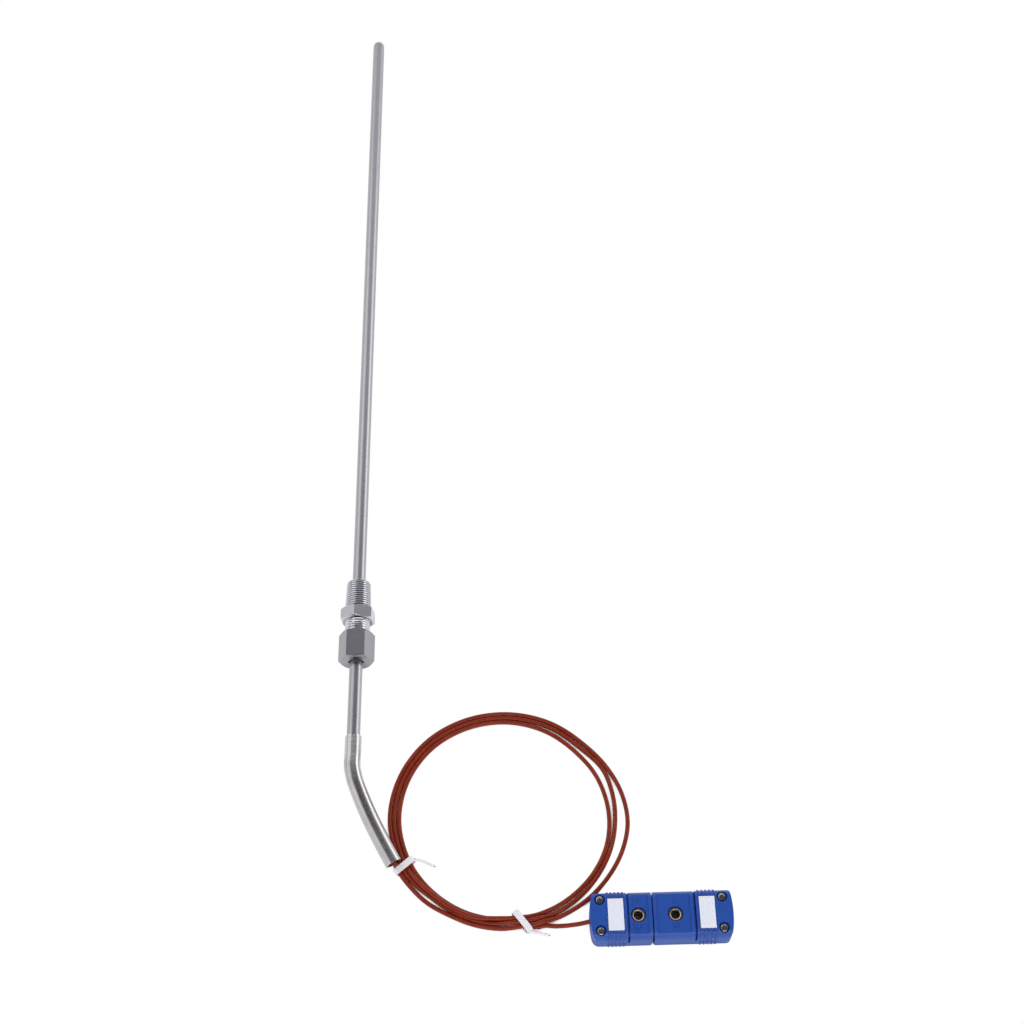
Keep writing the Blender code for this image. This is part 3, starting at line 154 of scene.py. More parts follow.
@dataclass(frozen=True)
class Finish:
    """What every finish has: a name and plain shader values."""

    name: str
    colour: str
    roughness: float = 0.5
    metallic: float = 0.0

    def start(self) -> tuple[bpy.types.Material, bpy.types.NodeTree, bpy.types.Node]:
        """Make the material with its constant values on the shader's own sockets.

        Returns:
            The material, its tree and its shader.
        """
        material = bpy.data.materials.new(self.name)
        material.use_nodes = True
        tree = material.node_tree
        shader = tree.nodes["Principled BSDF"]
        shader.inputs["Base Color"].default_value = linear(self.colour)
        shader.inputs["Roughness"].default_value = self.roughness
        shader.inputs["Metallic"].default_value = self.metallic
        material.diffuse_color = linear(self.colour)
        return material, tree, shader

    def vary(self, shader: bpy.types.Node, share: bpy.types.NodeSocket, other: str) -> None:
        """Let the colour wander towards another one.

        Args:
            shader: the shader.
            share: how far it goes at each place.
            other: the other colour.
        """
        tree = shader.id_data
        colours = {"data_type": "RGBA", MIX_FROM: linear(self.colour), MIX_TO: linear(other)}
        mixed = add_node(tree, "ShaderNodeMix", colours, {0: share})
        tree.links.new(mixed.outputs[MIX_RESULT], shader.inputs["Base Color"])

    def roughen(
        self, shader: bpy.types.Node, grain: bpy.types.NodeSocket, strength: float, depth: float
    ) -> None:
        """Give the surface a fine relief.

        Args:
            shader: the shader.
            grain: the relief's pattern.
            strength: how much of it counts.
            depth: its depth.
        """
        tree = shader.id_data
        settings = {"Strength": strength, "Distance": depth}
        relief = add_node(tree, "ShaderNodeBump", settings, {"Height": grain})
        tree.links.new(relief.outputs["Normal"], shader.inputs["Normal"])


@dataclass(frozen=True)
class TurnedSteel(Finish):
    """Stainless steel off a lathe or a drawing die.

    Fine lines run round the axis, so a highlight is sharp across the bar and streaks a
    little along it, and the colour is an even cool grey.
    """

    lines_per_mm: float = 4.0
    shade: str = "#98989E"
    depth: float = 0.001 * MM

    def make(self) -> bpy.types.Material:
        """Make the steel with fine rings along Y and faint stains."""
        material, tree, shader = self.start()
        place = add_node(tree, "ShaderNodeTexCoord").outputs["Object"]
        rings = add_node(tree, "ShaderNodeMapping", {"Scale": (0.03, 1.0, 0.03)}, {"Vector": place})
        lines = {"Scale": 1 / MM * self.lines_per_mm, "Detail": 3.0, "Roughness": 0.6}
        grain = add_node(tree, "ShaderNodeTexNoise", lines, {"Vector": rings.outputs["Vector"]})
        stains = {"Scale": 160.0, "Detail": 4.0, "Roughness": 0.55}
        cloud = add_node(tree, "ShaderNodeTexNoise", stains, {"Vector": place})
        self.vary(shader, cloud.outputs["Fac"], self.shade)
        spread = between((0.3, 0.7), (self.roughness * 0.8, self.roughness * 1.25))
        gloss = add_node(tree, "ShaderNodeMapRange", spread, {"Value": grain.outputs["Fac"]})
        tree.links.new(gloss.outputs["Result"], shader.inputs["Roughness"])
        self.roughen(shader, grain.outputs["Fac"], 0.25, self.depth)
        return material


@dataclass(frozen=True)
class MouldedNylon(Finish):
    """Injection-moulded glass-filled nylon.

    A satin skin with a fine even grain from the tool, a soft broad highlight and a slight
    change of colour where the wall is thin.
    """

    deep: str = "#193F90"
    grain_mm: float = 0.22

    def make(self) -> bpy.types.Material:
        """Make the nylon with a spark-eroded grain and a faint cloud of colour."""
        material, tree, shader = self.start()
        place = add_node(tree, "ShaderNodeTexCoord").outputs["Object"]
        cloud = add_node(tree, "ShaderNodeTexNoise", {"Scale": 220.0, "Detail": 3.0}, {"Vector": place})
        spread = between((0.35, 0.75), (0.0, 0.35))
        ease = add_node(tree, "ShaderNodeMapRange", spread, {"Value": cloud.outputs["Fac"]})
        self.vary(shader, ease.outputs["Result"], self.deep)
        sparks = {"Scale": 1 / MM / self.grain_mm / 2, "Detail": 2.0}
        grain = add_node(tree, "ShaderNodeTexNoise", sparks, {"Vector": place})
        self.roughen(shader, grain.outputs["Fac"], 0.25, 0.02 * MM)
        return material


@dataclass(frozen=True)
class ExtrudedJacket(Finish):
    """Extruded fluoropolymer over a twisted pair.

    Smooth and waxy, with a soft sheen, a slow ripple where the twisted cores press
    outwards and small changes of tone along its length.
    """

    pale: str = "#94351C"
    twist_mm: float = 14.0
    refraction: float = 1.36

    def make(self) -> bpy.types.Material:
        """Make the jacket with its slow ripple, tone and low refraction."""
        material, tree, shader = self.start()
        shader.inputs["IOR"].default_value = self.refraction
        place = add_node(tree, "ShaderNodeTexCoord").outputs["Object"]
        tones = {"Scale": 300.0, "Detail": 3.0, "Roughness": 0.55}
        cloud = add_node(tree, "ShaderNodeTexNoise", tones, {"Vector": place})
        spread = between((0.4, 0.7), (0.0, 0.6))
        ease = add_node(tree, "ShaderNodeMapRange", spread, {"Value": cloud.outputs["Fac"]})
        self.vary(shader, ease.outputs["Result"], self.pale)
        twists = {"Scale": 1 / MM / self.twist_mm * 4, "Detail": 1.0}
        ripple = add_node(tree, "ShaderNodeTexNoise", twists, {"Vector": place})
        self.roughen(shader, ripple.outputs["Fac"], 0.12, 0.04 * MM)
        return material


@dataclass(frozen=True)
class SpeckledSolid(Finish):
    """A plain solid with a little tone and grain, for paper, potting, powder and plating."""

    other: str = "#FFFFFF"
    share: float = 0.2
    bump: float = 0.01 * MM

    def make(self) -> bpy.types.Material:
        """Make the solid with one noise for tone and grain."""
        material, tree, shader = self.start()
        place = add_node(tree, "ShaderNodeTexCoord").outputs["Object"]
        specks = {"Scale": 900.0, "Detail": 4.0, "Roughness": 0.6}
        grain = add_node(tree, "ShaderNodeTexNoise", specks, {"Vector": place})
        spread = between((0.35, 0.7), (0.0, self.share))
        ease = add_node(tree, "ShaderNodeMapRange", spread, {"Value": grain.outputs["Fac"]})
        self.vary(shader, ease.outputs["Result"], self.other)
        self.roughen(shader, grain.outputs["Fac"], 0.3, self.bump)
        return material


class Finishes:
    """Every finish on the sensor, made once."""

    def __init__(self) -> None:
        """Make the materials."""
        # Drawn 316 tube: bright, with fine rings from the die.
        self.drawn_steel = TurnedSteel("drawn_316_steel", "#B0B0B3", 0.3, 1.0, 5.0, "#A6A6AA").make()
        # Bar stock turned and threaded: bright crests and clear tool lines.
        self.turned_steel = TurnedSteel("turned_316_steel", "#D2D2D8", 0.18, 1.0, 6.0, "#C0C0C6").make()
        # Milled hexagon bar of the nut: flatter and darker.
        self.milled_steel = TurnedSteel("milled_316_steel", "#A4A4AA", 0.3, 1.0, 6.0, "#98989E").make()
        # Spring wire: drawn hard and bright.
        self.spring_wire = TurnedSteel("bright_spring_wire", "#D8D6D6", 0.2, 1.0, 8.0, "#C8C6C6").make()
        # Blue nylon shells of the connectors.
        self.nylon = MouldedNylon("moulded_blue_nylon", "#1F4EA8", 0.4).make()
        # Brown outer jacket of the thin cable.
        self.jacket = ExtrudedJacket("extruded_brown_jacket", "#802812", 0.3).make()
        # Blank paper labels, slightly blue in the light.
        self.label = SpeckledSolid("coated_label_paper", "#ECEFFA", 0.55, other="#DADFF2").make()
        # Twist ties: a paper-white plastic film over a wire.
        self.tie = SpeckledSolid("white_tie_film", "#F2F2F6", 0.45, other="#DCDCE8").make()
        # Bare end of the tie's wire.
        self.tie_wire = SpeckledSolid("tie_steel_wire", "#77787C", 0.4, 1.0, "#8C8C90").make()
        # Tin-plated brass eyelets.
        self.eyelet = SpeckledSolid("tinned_brass", "#EED6B4", 0.3, 1.0, "#D8BC94", 0.5).make()
        # Nickel-plated steel screws.
        self.nickel = SpeckledSolid("nickel_plated_steel", "#C4C0B8", 0.24, 1.0, "#8C8880", 0.6).make()
        # Copper and constantan of the thermocouple pair and its contacts.
        self.copper = SpeckledSolid("bare_copper", "#C87A4E", 0.3, 1.0, "#9C5436", 0.5).make()
        self.constantan = SpeckledSolid("bare_constantan", "#B5AC98", 0.32, 1.0, "#8F8874", 0.5).make()
        # Packed magnesia powder: dull and chalky.
        self.magnesia = SpeckledSolid(
            "packed_magnesia", "#E8E5DC", 0.9, other="#D2CEC2", bump=0.05 * MM
        ).make()
        # Epoxy that closes the sheath: black and half gloss.
        self.epoxy = SpeckledSolid("black_epoxy", "#26262A", 0.35, other="#34343A").make()


# --------------------------------------------------------------------------- modelling


def only(item: bpy.types.Object) -> None:
    """Select one object and make it active.

    Args:
        item: the object.
    """
    bpy.ops.object.select_all(action="DESELECT")
    item.select_set(True)
    bpy.context.view_layer.objects.active = item


def open_all(item: bpy.types.Object) -> None:
    """Go into edit mode with everything on one object selected.

    Args:
        item: the object.
    """
    only(item)
    bpy.ops.object.mode_set(mode="EDIT")
    bpy.ops.mesh.select_all(action="SELECT")


def close_outward() -> None:
    """Point all faces outwards and leave edit mode."""
    bpy.ops.mesh.select_all(action="SELECT")
    bpy.ops.mesh.normals_make_consistent(inside=False)
    bpy.ops.object.mode_set(mode="OBJECT")


def combine(item: bpy.types.Object, other: bpy.types.Object, how: Join) -> None:
    """Act on one solid with another and delete the other.

    Args:
        item: the solid that stays.
        other: the helper solid.
        how: add, cut or keep.
    """
    only(item)
    step = item.modifiers.new("combine", "BOOLEAN")
    step.operation = how.value
    step.solver = "EXACT"
    step.object = other
    bpy.ops.object.modifier_apply(modifier=step.name)
    bpy.data.objects.remove(other, do_unlink=True)


def soften(item: bpy.types.Object, width: float, steps: int = 2, angle: float = 30.0) -> None:
    """Round the sharp edges of a solid.

    Args:
        item: the solid.
        width: how far the rounding reaches from an edge.
        steps: faces across the rounding.
        angle: edges sharper than this, in degrees, are rounded.
    """
    only(item)
    step = item.modifiers.new("soften", "BEVEL")
    step.width = width
    step.segments = steps
    step.limit_method = "ANGLE"
    step.angle_limit = math.radians(angle)
    step.use_clamp_overlap = True
    step.harden_normals = False
    bpy.ops.object.modifier_apply(modifier=step.name)
    open_all(item)
    bpy.ops.mesh.remove_doubles(threshold=MERGE)
    bpy.ops.mesh.dissolve_degenerate(threshold=MERGE)
    bpy.ops.object.mode_set(mode="OBJECT")


def shade(item: bpy.types.Object, angle: float = 35.0) -> None:
    """Shade a piece smooth, but not over its sharp edges.

    Args:
        item: the piece.
        angle: the sharpest edge that is still smooth, in degrees.
    """
    only(item)
    bpy.ops.object.shade_smooth_by_angle(angle=math.radians(angle))
    step = item.modifiers.new("even_normals", "WEIGHTED_NORMAL")
    step.keep_sharp = True
    bpy.ops.object.modifier_apply(modifier=step.name)


def turn_ring(name: str, sides: int, radius: float, height: float) -> bpy.types.Object:
    """Add an open ring of edges round Z as the start of a turned piece.

    Args:
        name: the new object's name.
        sides: edges in the ring.
        radius: the ring's radius.
        height: the ring's height.

    Returns:
        The object, in edit mode with the ring selected.
    """
    bpy.ops.object.select_all(action="DESELECT")
    bpy.ops.mesh.primitive_circle_add(vertices=sides, radius=radius, location=(0, 0, height))
    item = bpy.context.active_object
    item.name = name
    item.data.name = name
    bpy.ops.object.transform_apply(location=True, rotation=True, scale=True)
    bpy.ops.object.mode_set(mode="EDIT")
    bpy.ops.mesh.select_all(action="SELECT")
    return item


def turned(
    name: str, profile: list[Pair], sides: int = 64, tube: bool = False
) -> bpy.types.Object:
    """Turn a profile round Z by extruding and resizing a ring.

    Args:
        name: the new object's name.
        profile: radius and height pairs, all with a radius above zero.
        sides: facets round the piece.
        tube: whether the last ring joins the first, or both ends are closed flat.

    Returns:
        The finished solid.
    """
    radius, height = profile[0]
    item = turn_ring(name, sides, radius, height)
    if not tube:
        bpy.ops.mesh.edge_face_add()
        bpy.ops.mesh.select_all(action="SELECT")
        bpy.ops.mesh.select_mode(type="EDGE")
    ends = profile[1:] + ([profile[0]] if tube else [])
    for next_radius, next_height in ends:
        bpy.ops.mesh.extrude_edges_move(
            TRANSFORM_OT_translate={"value": (0, 0, next_height - height)}
        )
        share = next_radius / radius
        bpy.ops.transform.resize(value=(share, share, 1), center_override=(0, 0, next_height))
        radius, height = next_radius, next_height
    if not tube:
        bpy.ops.mesh.edge_face_add()
    bpy.ops.mesh.select_all(action="SELECT")
    bpy.ops.mesh.remove_doubles(threshold=TINY)
    close_outward()
    return item


def bar(
    name: str, sides: int, radius: float, low: float, high: float, turn: float = 0.0
) -> bpy.types.Object:
    """Add a bar along Z with a regular section.

    Args:
        name: the new object's name.
        sides: corners of the section.
        radius: distance from the axis to a corner.
        low: its lower end.
        high: its upper end.
        turn: how far the section is turned about Z.

    Returns:
        The bar.
    """
    bpy.ops.object.select_all(action="DESELECT")
    bpy.ops.mesh.primitive_cylinder_add(
        vertices=sides,
        radius=radius,
        depth=high - low,
        location=(0, 0, (low + high) / 2),
        rotation=(0, 0, turn),
    )
    item = bpy.context.active_object
    item.name = name
    bpy.ops.object.transform_apply(location=True, rotation=True, scale=True)
    return item


def brick(name: str, low: Point, high: Point) -> bpy.types.Object:
    """Add a box between two corners.

    Args:
        name: the new object's name.
        low: the lowest corner.
        high: the highest corner.

    Returns:
        The box.
    """
    bpy.ops.object.select_all(action="DESELECT")
    middle = [(a + b) / 2 for a, b in zip(low, high)]
    size = [b - a for a, b in zip(low, high)]
    bpy.ops.mesh.primitive_cube_add(size=1, location=middle, scale=size)
    item = bpy.context.active_object
    item.name = name
    bpy.ops.object.transform_apply(location=True, rotation=True, scale=True)
    return item


def settle(item: bpy.types.Object, place: Matrix) -> None:
    """Move a piece's mesh to its place and leave the object at the origin.

    Args:
        item: the piece.
        place: from the piece's own frame to the world.
    """
    item.data.transform(place)
    item.data.update()


def dress(
    item: bpy.types.Object, material: bpy.types.Material, body: str, slot: str, *nodes: str
) -> None:
    """Finish a piece: material, body and the CAD nodes it stands for.

    Args:
        item: the piece.
        material: its material.
        body: the CAD body it rides on.
        slot: the name of its material slot in the record; not used.
        nodes: the CAD nodes it replaces.
    """
    item.data.materials.clear()
    item.data.materials.append(material)
    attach(item, body)
    if nodes:
        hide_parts(*nodes)
    count = sum(len(face.vertices) - 2 for face in item.data.polygons) if item.type == "MESH" else 0
    LOG.info("%s: %d triangles on %s", item.name, count, body)


def smooth_line(points: list[Vector], spacing: float) -> list[Vector]:
    """Read a smooth curve through points at an even spacing.

    Args:
        points: the points it passes through.
        spacing: the distance between the points read from it.

    Returns:
        Points along the curve, both ends among them.
    """
    before = points[0] * 2 - points[1]
    after = points[-1] * 2 - points[-2]
    knots = [before, *points, after]

    def heading(a: Vector, b: Vector, c: Vector) -> Vector:
        """Direction at b, weighted towards its nearer neighbour."""
        near, far = (b - a).length, (c - b).length
        return ((b - a) * (far / near) + (c - b) * (near / far)) / (near + far)

    dense: list[Vector] = []
    for a, b, c, d in zip(knots, knots[1:], knots[2:], knots[3:]):
        leave = heading(a, b, c) * (c - b).length
        arrive = heading(b, c, d) * (c - b).length
        for step in range(16):
            s = step / 16
            dense.append(
                b * (2 * s**3 - 3 * s**2 + 1)
                + leave * (s**3 - 2 * s**2 + s)
                + c * (3 * s**2 - 2 * s**3)
                + arrive * (s**3 - s**2)
            )
    dense.append(points[-1])
    along = [0.0]
    for one, other in zip(dense, dense[1:]):
        along.append(along[-1] + (other - one).length)
    count = max(2, round(along[-1] / spacing))
    line: list[Vector] = []
    index = 0
    for step in range(count + 1):
        wanted = along[-1] * step / count
        while index < len(along) - 2 and along[index + 1] < wanted:
            index += 1
        share = (wanted - along[index]) / max(along[index + 1] - along[index], 1e-12)
        line.append(dense[index].lerp(dense[index + 1], min(max(share, 0.0), 1.0)))
    return line


def tube(name: str, line: list[Vector], diameter: float, resolution: int = 4) -> bpy.types.Object:
    """Add a round tube along a line of points, closed at both ends.

    Args:
        name: the new object's name.
        line: the centre line.
        diameter: the tube's diameter.
        resolution: how round its section is.

    Returns:
        The curve object.
    """
    curve = bpy.data.curves.new(name, "CURVE")
    curve.dimensions = "3D"
    curve.bevel_depth = diameter / 2
    curve.bevel_resolution = resolution
    curve.use_fill_caps = True
    spline = curve.splines.new("POLY")
    spline.points.add(len(line) - 1)
    for point, place in zip(spline.points, line):
        point.co = (*place, 1)
    spline.use_smooth = True
    item = bpy.data.objects.new(name, curve)
    bpy.context.collection.objects.link(item)
    return item


def to_mesh(item: bpy.types.Object) -> bpy.types.Object:
    """Turn a curve into a mesh.

    Args:
        item: the curve object.

    Returns:
        The same object, now a mesh.
    """
    only(item)
    bpy.ops.object.convert(target="MESH")
    return bpy.context.active_object


# --------------------------------------------------------------------------- the frame of the probe


@dataclass
class Lie:
    """How the probe lies on the floor: on its tip and on a corner of the hexagon."""

    sheath_length: float = 364.0 * MM
    sheath_radius: float = 2.5 * MM
    hex_front: float = 298.8 * MM
    corner_drop: float = 6.8675 * MM
    coil_centre: Pair = (55.7 * MM, -17.1 * MM)

    @property
    def lean(self) -> float:
        """The angle between the axis and the floor."""
        reach_along = self.hex_front - self.sheath_radius
        reach = math.hypot(self.corner_drop, reach_along)
        return math.acos(self.sheath_radius / reach) - math.atan2(reach_along, self.corner_drop)

    @property
    def half(self) -> float:
        """Half of the sheath's length along the floor."""
        return self.sheath_length * math.cos(self.lean) / 2

    def axis_point(self, from_tip: float) -> Vector:
        """World place on the axis.

        Args:
            from_tip: distance from the tip.

        Returns:
            The point.
        """
        height = self.sheath_radius * (1 - math.sin(self.lean)) + from_tip * math.sin(self.lean)
        return Vector((0, self.half - from_tip * math.cos(self.lean), height))

    def probe(self, from_tip: float = 0.0) -> Matrix:
        """Frame with its Z along the probe towards the rear, and its Y up.

        Args:
            from_tip: distance of its origin from the tip.

        Returns:
            The frame's matrix.
        """
        turn = Matrix.Rotation(math.pi / 2 - self.lean, 4, "X")
        return Matrix.Translation(self.axis_point(from_tip)) @ turn

    def from_rear(self, x: float, y: float, z: float) -> Vector:
        """World place of a point given from the floor under the sheath's rear end.

        Args:
            x: to the right.
            y: forward.
            z: up.

        Returns:
            The point.
        """
        return Vector((x, y - self.half, z))

    def round_coil(self, angle: float, radius: float, height: float) -> Vector:
        """World place round the coil's centre.

        Args:
            angle: direction in degrees, counter-clockwise from +X.
            radius: distance from the centre.
            height: above the floor.

        Returns:
            The point.
        """
        a = math.radians(angle)
        x, y = self.coil_centre
        return self.from_rear(x + radius * math.cos(a), y + radius * math.sin(a), height)


# --------------------------------------------------------------------------- probe


@dataclass
class Probe:
    """The drawn sheath with its welded tip."""

    lie: Lie
    wall: float = 0.5 * MM
    tip_flat: float = 0.05 * MM
    tip_steps: int = 10
    edge: float = 0.06 * MM

    def build(self, finishes: Finishes) -> None:
        """Build and dress the sheath.

        Args:
            finishes: the materials.
        """
        radius = self.lie.sheath_radius
        inner = radius - self.wall
        length = self.lie.sheath_length
        profile = [(self.tip_flat, 0.0)]
        for step in range(1, self.tip_steps + 1):
            angle = math.pi / 2 * step / self.tip_steps
            profile.append((radius * math.sin(angle), radius * (1 - math.cos(angle))))
        profile += [(radius, length / 2), (radius, length - self.edge), (radius - self.edge, length)]
        profile += [(inner, length), (inner, radius), (inner * 0.3, radius - inner)]
        sheath = turned("sheath_tube", profile, 64)
        settle(sheath, self.lie.probe())
        shade(sheath)
        dress(sheath, finishes.drawn_steel, "probe", "stainless", "sheath")


@dataclass
class Fitting:
    """The compression fitting: taper thread, hexagon, threaded neck and nut."""

    lie: Lie
    start: float = 287.0 * MM
    thread_length: float = 11.8 * MM
    pitch: float = 0.94 * MM
    thread_depth: float = 0.6 * MM
    crest_share: float = 0.34
    thread_front_radius: float = 4.62 * MM
    taper: float = 1 / 16
    across_flats: float = 12.0 * MM
    face_share: float = 0.95
    hex_length: float = 5.2 * MM
    hex_turn: float = 7.6
    neck_radius: float = 4.75 * MM
    neck_pitch: float = 1.058 * MM
    neck_depth: float = 0.3 * MM
    neck_length: float = 10.8 * MM
    neck_in_view: float = 5.1 * MM
    nut_length: float = 12.0 * MM
    bore: float = 2.8 * MM

    @property
    def corner(self) -> float:
        """Distance from the axis to a corner of the hexagon."""
        return self.across_flats / 2 / math.cos(math.pi / 6)

    def hexagon(self, name: str, low: float, high: float, turn: float) -> bpy.types.Object:
        """A hexagon whose ends are turned down at 30 degrees.

        Args:
            name: the new object's name.
            low: its front end.
            high: its rear end.
            turn: degrees from having a flat on top.

        Returns:
            The solid.
        """
        item = bar(name, 6, self.corner, low, high, math.radians(turn))
        face = self.across_flats / 2 * self.face_share
        full = self.corner + 0.2 * MM
        slant = (full - face) * math.tan(math.radians(30))
        blank = turned(
            "blank", [(face, low), (full, low + slant), (full, high - slant), (face, high)], 96
        )
        combine(item, blank, Join.KEEP)
        return item

    def screw_thread(
        self, name: str, low: float, high: float, radius: float, pitch: float, depth: float, taper: float
    ) -> bpy.types.Object:
        """A right-hand screw thread as a closed bar.

        Args:
            name: the new object's name.
            low: its front end.
            high: its rear end.
            radius: the crest's radius at the front end.
            pitch: distance between crests.
            depth: from crest to root.
            taper: how fast the diameter grows along it.

        Returns:
            The solid.
        """
        flat, crest = pitch / 8, pitch * self.crest_share
        root = radius - depth
        start = low - pitch * 1.5
        points = [
            (root, 0, start),
            (root, 0, start + flat),
            (radius, 0, start + (pitch + flat - crest) / 2),
            (radius, 0, start + (pitch + flat + crest) / 2),
            (root, 0, start + pitch),
        ]
        mesh = bpy.data.meshes.new(name)
        mesh.from_pydata(points, [(i, i + 1) for i in range(len(points) - 1)], [])
        item = bpy.data.objects.new(name, mesh)
        bpy.context.collection.objects.link(item)
        only(item)
        wind = item.modifiers.new("wind", "SCREW")
        wind.axis = "Z"
        wind.steps = wind.render_steps = 56
        wind.screw_offset = pitch
        wind.iterations = math.ceil((high - low) / pitch) + 3
        wind.use_merge_vertices = True
        wind.merge_threshold = 1e-6
        bpy.ops.object.modifier_apply(modifier=wind.name)
        for vertex in item.data.vertices:
            grown = 1 + (vertex.co.z - low) * taper / 2 / radius
            vertex.co.x *= grown
            vertex.co.y *= grown
        open_all(item)
        bpy.ops.mesh.remove_doubles(threshold=1e-6)
        for height, front in ((low, True), (high, False)):
            bpy.ops.mesh.select_all(action="SELECT")
            bpy.ops.mesh.bisect(
                plane_co=(0, 0, height),
                plane_no=(0, 0, 1),
                use_fill=True,
                clear_inner=front,
                clear_outer=not front,
                threshold=TINY,
            )
        close_outward()
        return item

    def build_body(self, finishes: Finishes) -> None:
        """Build and dress the fitting's body.

        Args:
            finishes: the materials.
        """
        hex_low = self.thread_length
        hex_high = hex_low + self.hex_length
        neck_end = hex_high + self.neck_length
        body = self.hexagon("fitting_hexagon", hex_low, hex_high, self.hex_turn)
        soften(body, 0.1 * MM, 2, 35)
        thread = self.screw_thread(
            "taper_thread",
            0.0,
            hex_low + 0.3 * MM,
            self.thread_front_radius,
            self.pitch,
            self.thread_depth,
            self.taper,
        )
        front = self.thread_front_radius
        lead_in = turned(
            "lead_in",
            [
                (front - self.thread_depth, -0.001 * MM),
                (front + 0.3 * MM, 1.2 * MM),
                (front + 2 * MM, 1.2 * MM),
                (front + 2 * MM, hex_low + 1 * MM),
                (front - 1 * MM, hex_low + 1 * MM),
            ],
            64,
        )
        combine(thread, lead_in, Join.KEEP)
        combine(body, thread, Join.ADD)
        neck = self.screw_thread(
            "neck_thread",
            hex_high - 0.3 * MM,
            neck_end,
            self.neck_radius,
            self.neck_pitch,
            self.neck_depth,
            0.0,
        )
        combine(body, neck, Join.ADD)
        bore = turned(
            "bore",
            [
                (self.bore, -1 * MM),
                (self.bore, neck_end - 2.4 * MM),
                (3.9 * MM, neck_end),
                (4.3 * MM, neck_end + 1 * MM),
            ],
            64,
        )
        combine(body, bore, Join.CUT)
        settle(body, self.lie.probe(self.start))
        shade(body, 28)
        dress(body, finishes.turned_steel, "fitting", "stainless", "fitting_body")

    def build_nut(self, finishes: Finishes) -> None:
        """Build and dress the nut.

        Args:
            finishes: the materials.
        """
        low = self.thread_length + self.hex_length + self.neck_in_view
        high = low + self.nut_length
        nut = self.hexagon("nut_hexagon", low, high, 30.0)
        soften(nut, 0.12 * MM, 2, 35)
        neck_end = self.thread_length + self.hex_length + self.neck_length
        room = self.neck_radius + 0.12 * MM
        inside = turned(
            "inside",
            [
                (room + 0.3 * MM, low - 0.5 * MM),
                (room + 0.3 * MM, low + 0.15 * MM),
                (room, low + 0.5 * MM),
                (room, neck_end + 0.4 * MM),
                (4.2 * MM, neck_end + 0.8 * MM),
                (4.2 * MM, high - 2.6 * MM),
                (self.bore, high - 2.6 * MM),
                (self.bore, high - 0.35 * MM),
                (self.bore + 0.35 * MM, high),
                (self.bore + 0.35 * MM, high + 1 * MM),
            ],
            64,
        )
        combine(nut, inside, Join.CUT)
        settle(nut, self.lie.probe(self.start))
        shade(nut, 28)
        dress(nut, finishes.milled_steel, "nut", "stainless", "compression_nut")

    def build(self, finishes: Finishes) -> None:
        """Build the body and the nut.

        Args:
            finishes: the materials.
        """
        self.build_body(finishes)
        self.build_nut(finishes)


@dataclass
class StrainRelief:
    """The close-wound spring over the sheath's end, drawn as its own wire."""

    lie: Lie
    overlap: float = 12.6 * MM
    wire: Pair = (0.44 * MM, 0.32 * MM)
    edge: float = 0.035 * MM
    pitch: float = 0.5 * MM
    outer_radius: float = 3.1 * MM
    steps: int = 22
    free: list[Point] = field(
        default_factory=lambda: [
            (0.9 * MM, -3.5 * MM, 7.55 * MM),
            (2.9 * MM, -9.0 * MM, 6.9 * MM),
            (5.05 * MM, -14.1 * MM, 6.3 * MM),
            (7.3 * MM, -19.0 * MM, 5.75 * MM),
            (9.4 * MM, -23.15 * MM, 5.35 * MM),
            (11.85 * MM, -27.8 * MM, 4.95 * MM),
            (15.85 * MM, -35.0 * MM, 4.45 * MM),
        ]
    )

    def route(self) -> list[Vector]:
        """The spring's centre line.

        Returns:
            Points from its front end to its mouth.
        """
        end = self.lie.sheath_length
        start = end - self.overlap
        on_axis = [self.lie.axis_point(s) for s in (start, (start + end) / 2, end - 1 * MM)]
        return [*on_axis, *(self.lie.from_rear(*p) for p in self.free)]

    def section(self) -> list[Pair]:
        """The flat wire's section, with small round edges.

        Returns:
            Distances along the spring and outwards from its wire's middle.
        """
        wide, thick = self.wire[0] / 2, self.wire[1] / 2
        near_wide, near_thick = wide - self.edge, thick - self.edge
        upper = [(-wide, near_thick), (-near_wide, thick), (near_wide, thick), (wide, near_thick)]
        return upper + [(-along, -out) for along, out in upper]

    def build(self, finishes: Finishes) -> None:
        """Wind the flat wire round the centre line and dress it.

        Args:
            finishes: the materials.
        """
        line = smooth_line(self.route(), 0.25 * MM)
        along = [0.0]
        for a, b in zip(line, line[1:]):
            along.append(along[-1] + (b - a).length)
        side = Vector((1, 0, 0))
        sides = []
        for i in range(len(line)):
            run = (line[min(i + 1, len(line) - 1)] - line[max(i - 1, 0)]).normalized()
            side = (side - run * side.dot(run)).normalized()
            sides.append((side, run.cross(side)))
        radius = self.outer_radius - self.wire[1] / 2
        total = int(along[-1] / self.pitch * self.steps)
        section = self.section()
        count = len(section)
        places = []
        index = 0
        for step in range(total + 1):
            at = along[-1] * step / total
            while index < len(along) - 2 and along[index + 1] < at:
                index += 1
            share = (at - along[index]) / (along[index + 1] - along[index])
            centre = line[index].lerp(line[index + 1], share)
            one = sides[index][0].lerp(sides[index + 1][0], share).normalized()
            other = sides[index][1].lerp(sides[index + 1][1], share).normalized()
            run = one.cross(other)
            angle = math.tau * step / self.steps
            outward = one * math.cos(angle) + other * math.sin(angle)
            places += [centre + outward * (radius + out) + run * shift for shift, out in section]
        faces = [tuple(range(count)), tuple(reversed(range(total * count, total * count + count)))]
        for step in range(total):
            for corner in range(count):
                a = step * count + corner
                b = step * count + (corner + 1) % count
                faces.append((b, a, a + count, b + count))
        mesh = bpy.data.meshes.new("spring_wire_coil")
        mesh.from_pydata(places, [], faces)
        spring = bpy.data.objects.new("spring_wire_coil", mesh)
        bpy.context.collection.objects.link(spring)
        open_all(spring)
        close_outward()
        shade(spring, 30)
        dress(spring, finishes.spring_wire, "probe", "spring_steel", "strain_relief_spring")


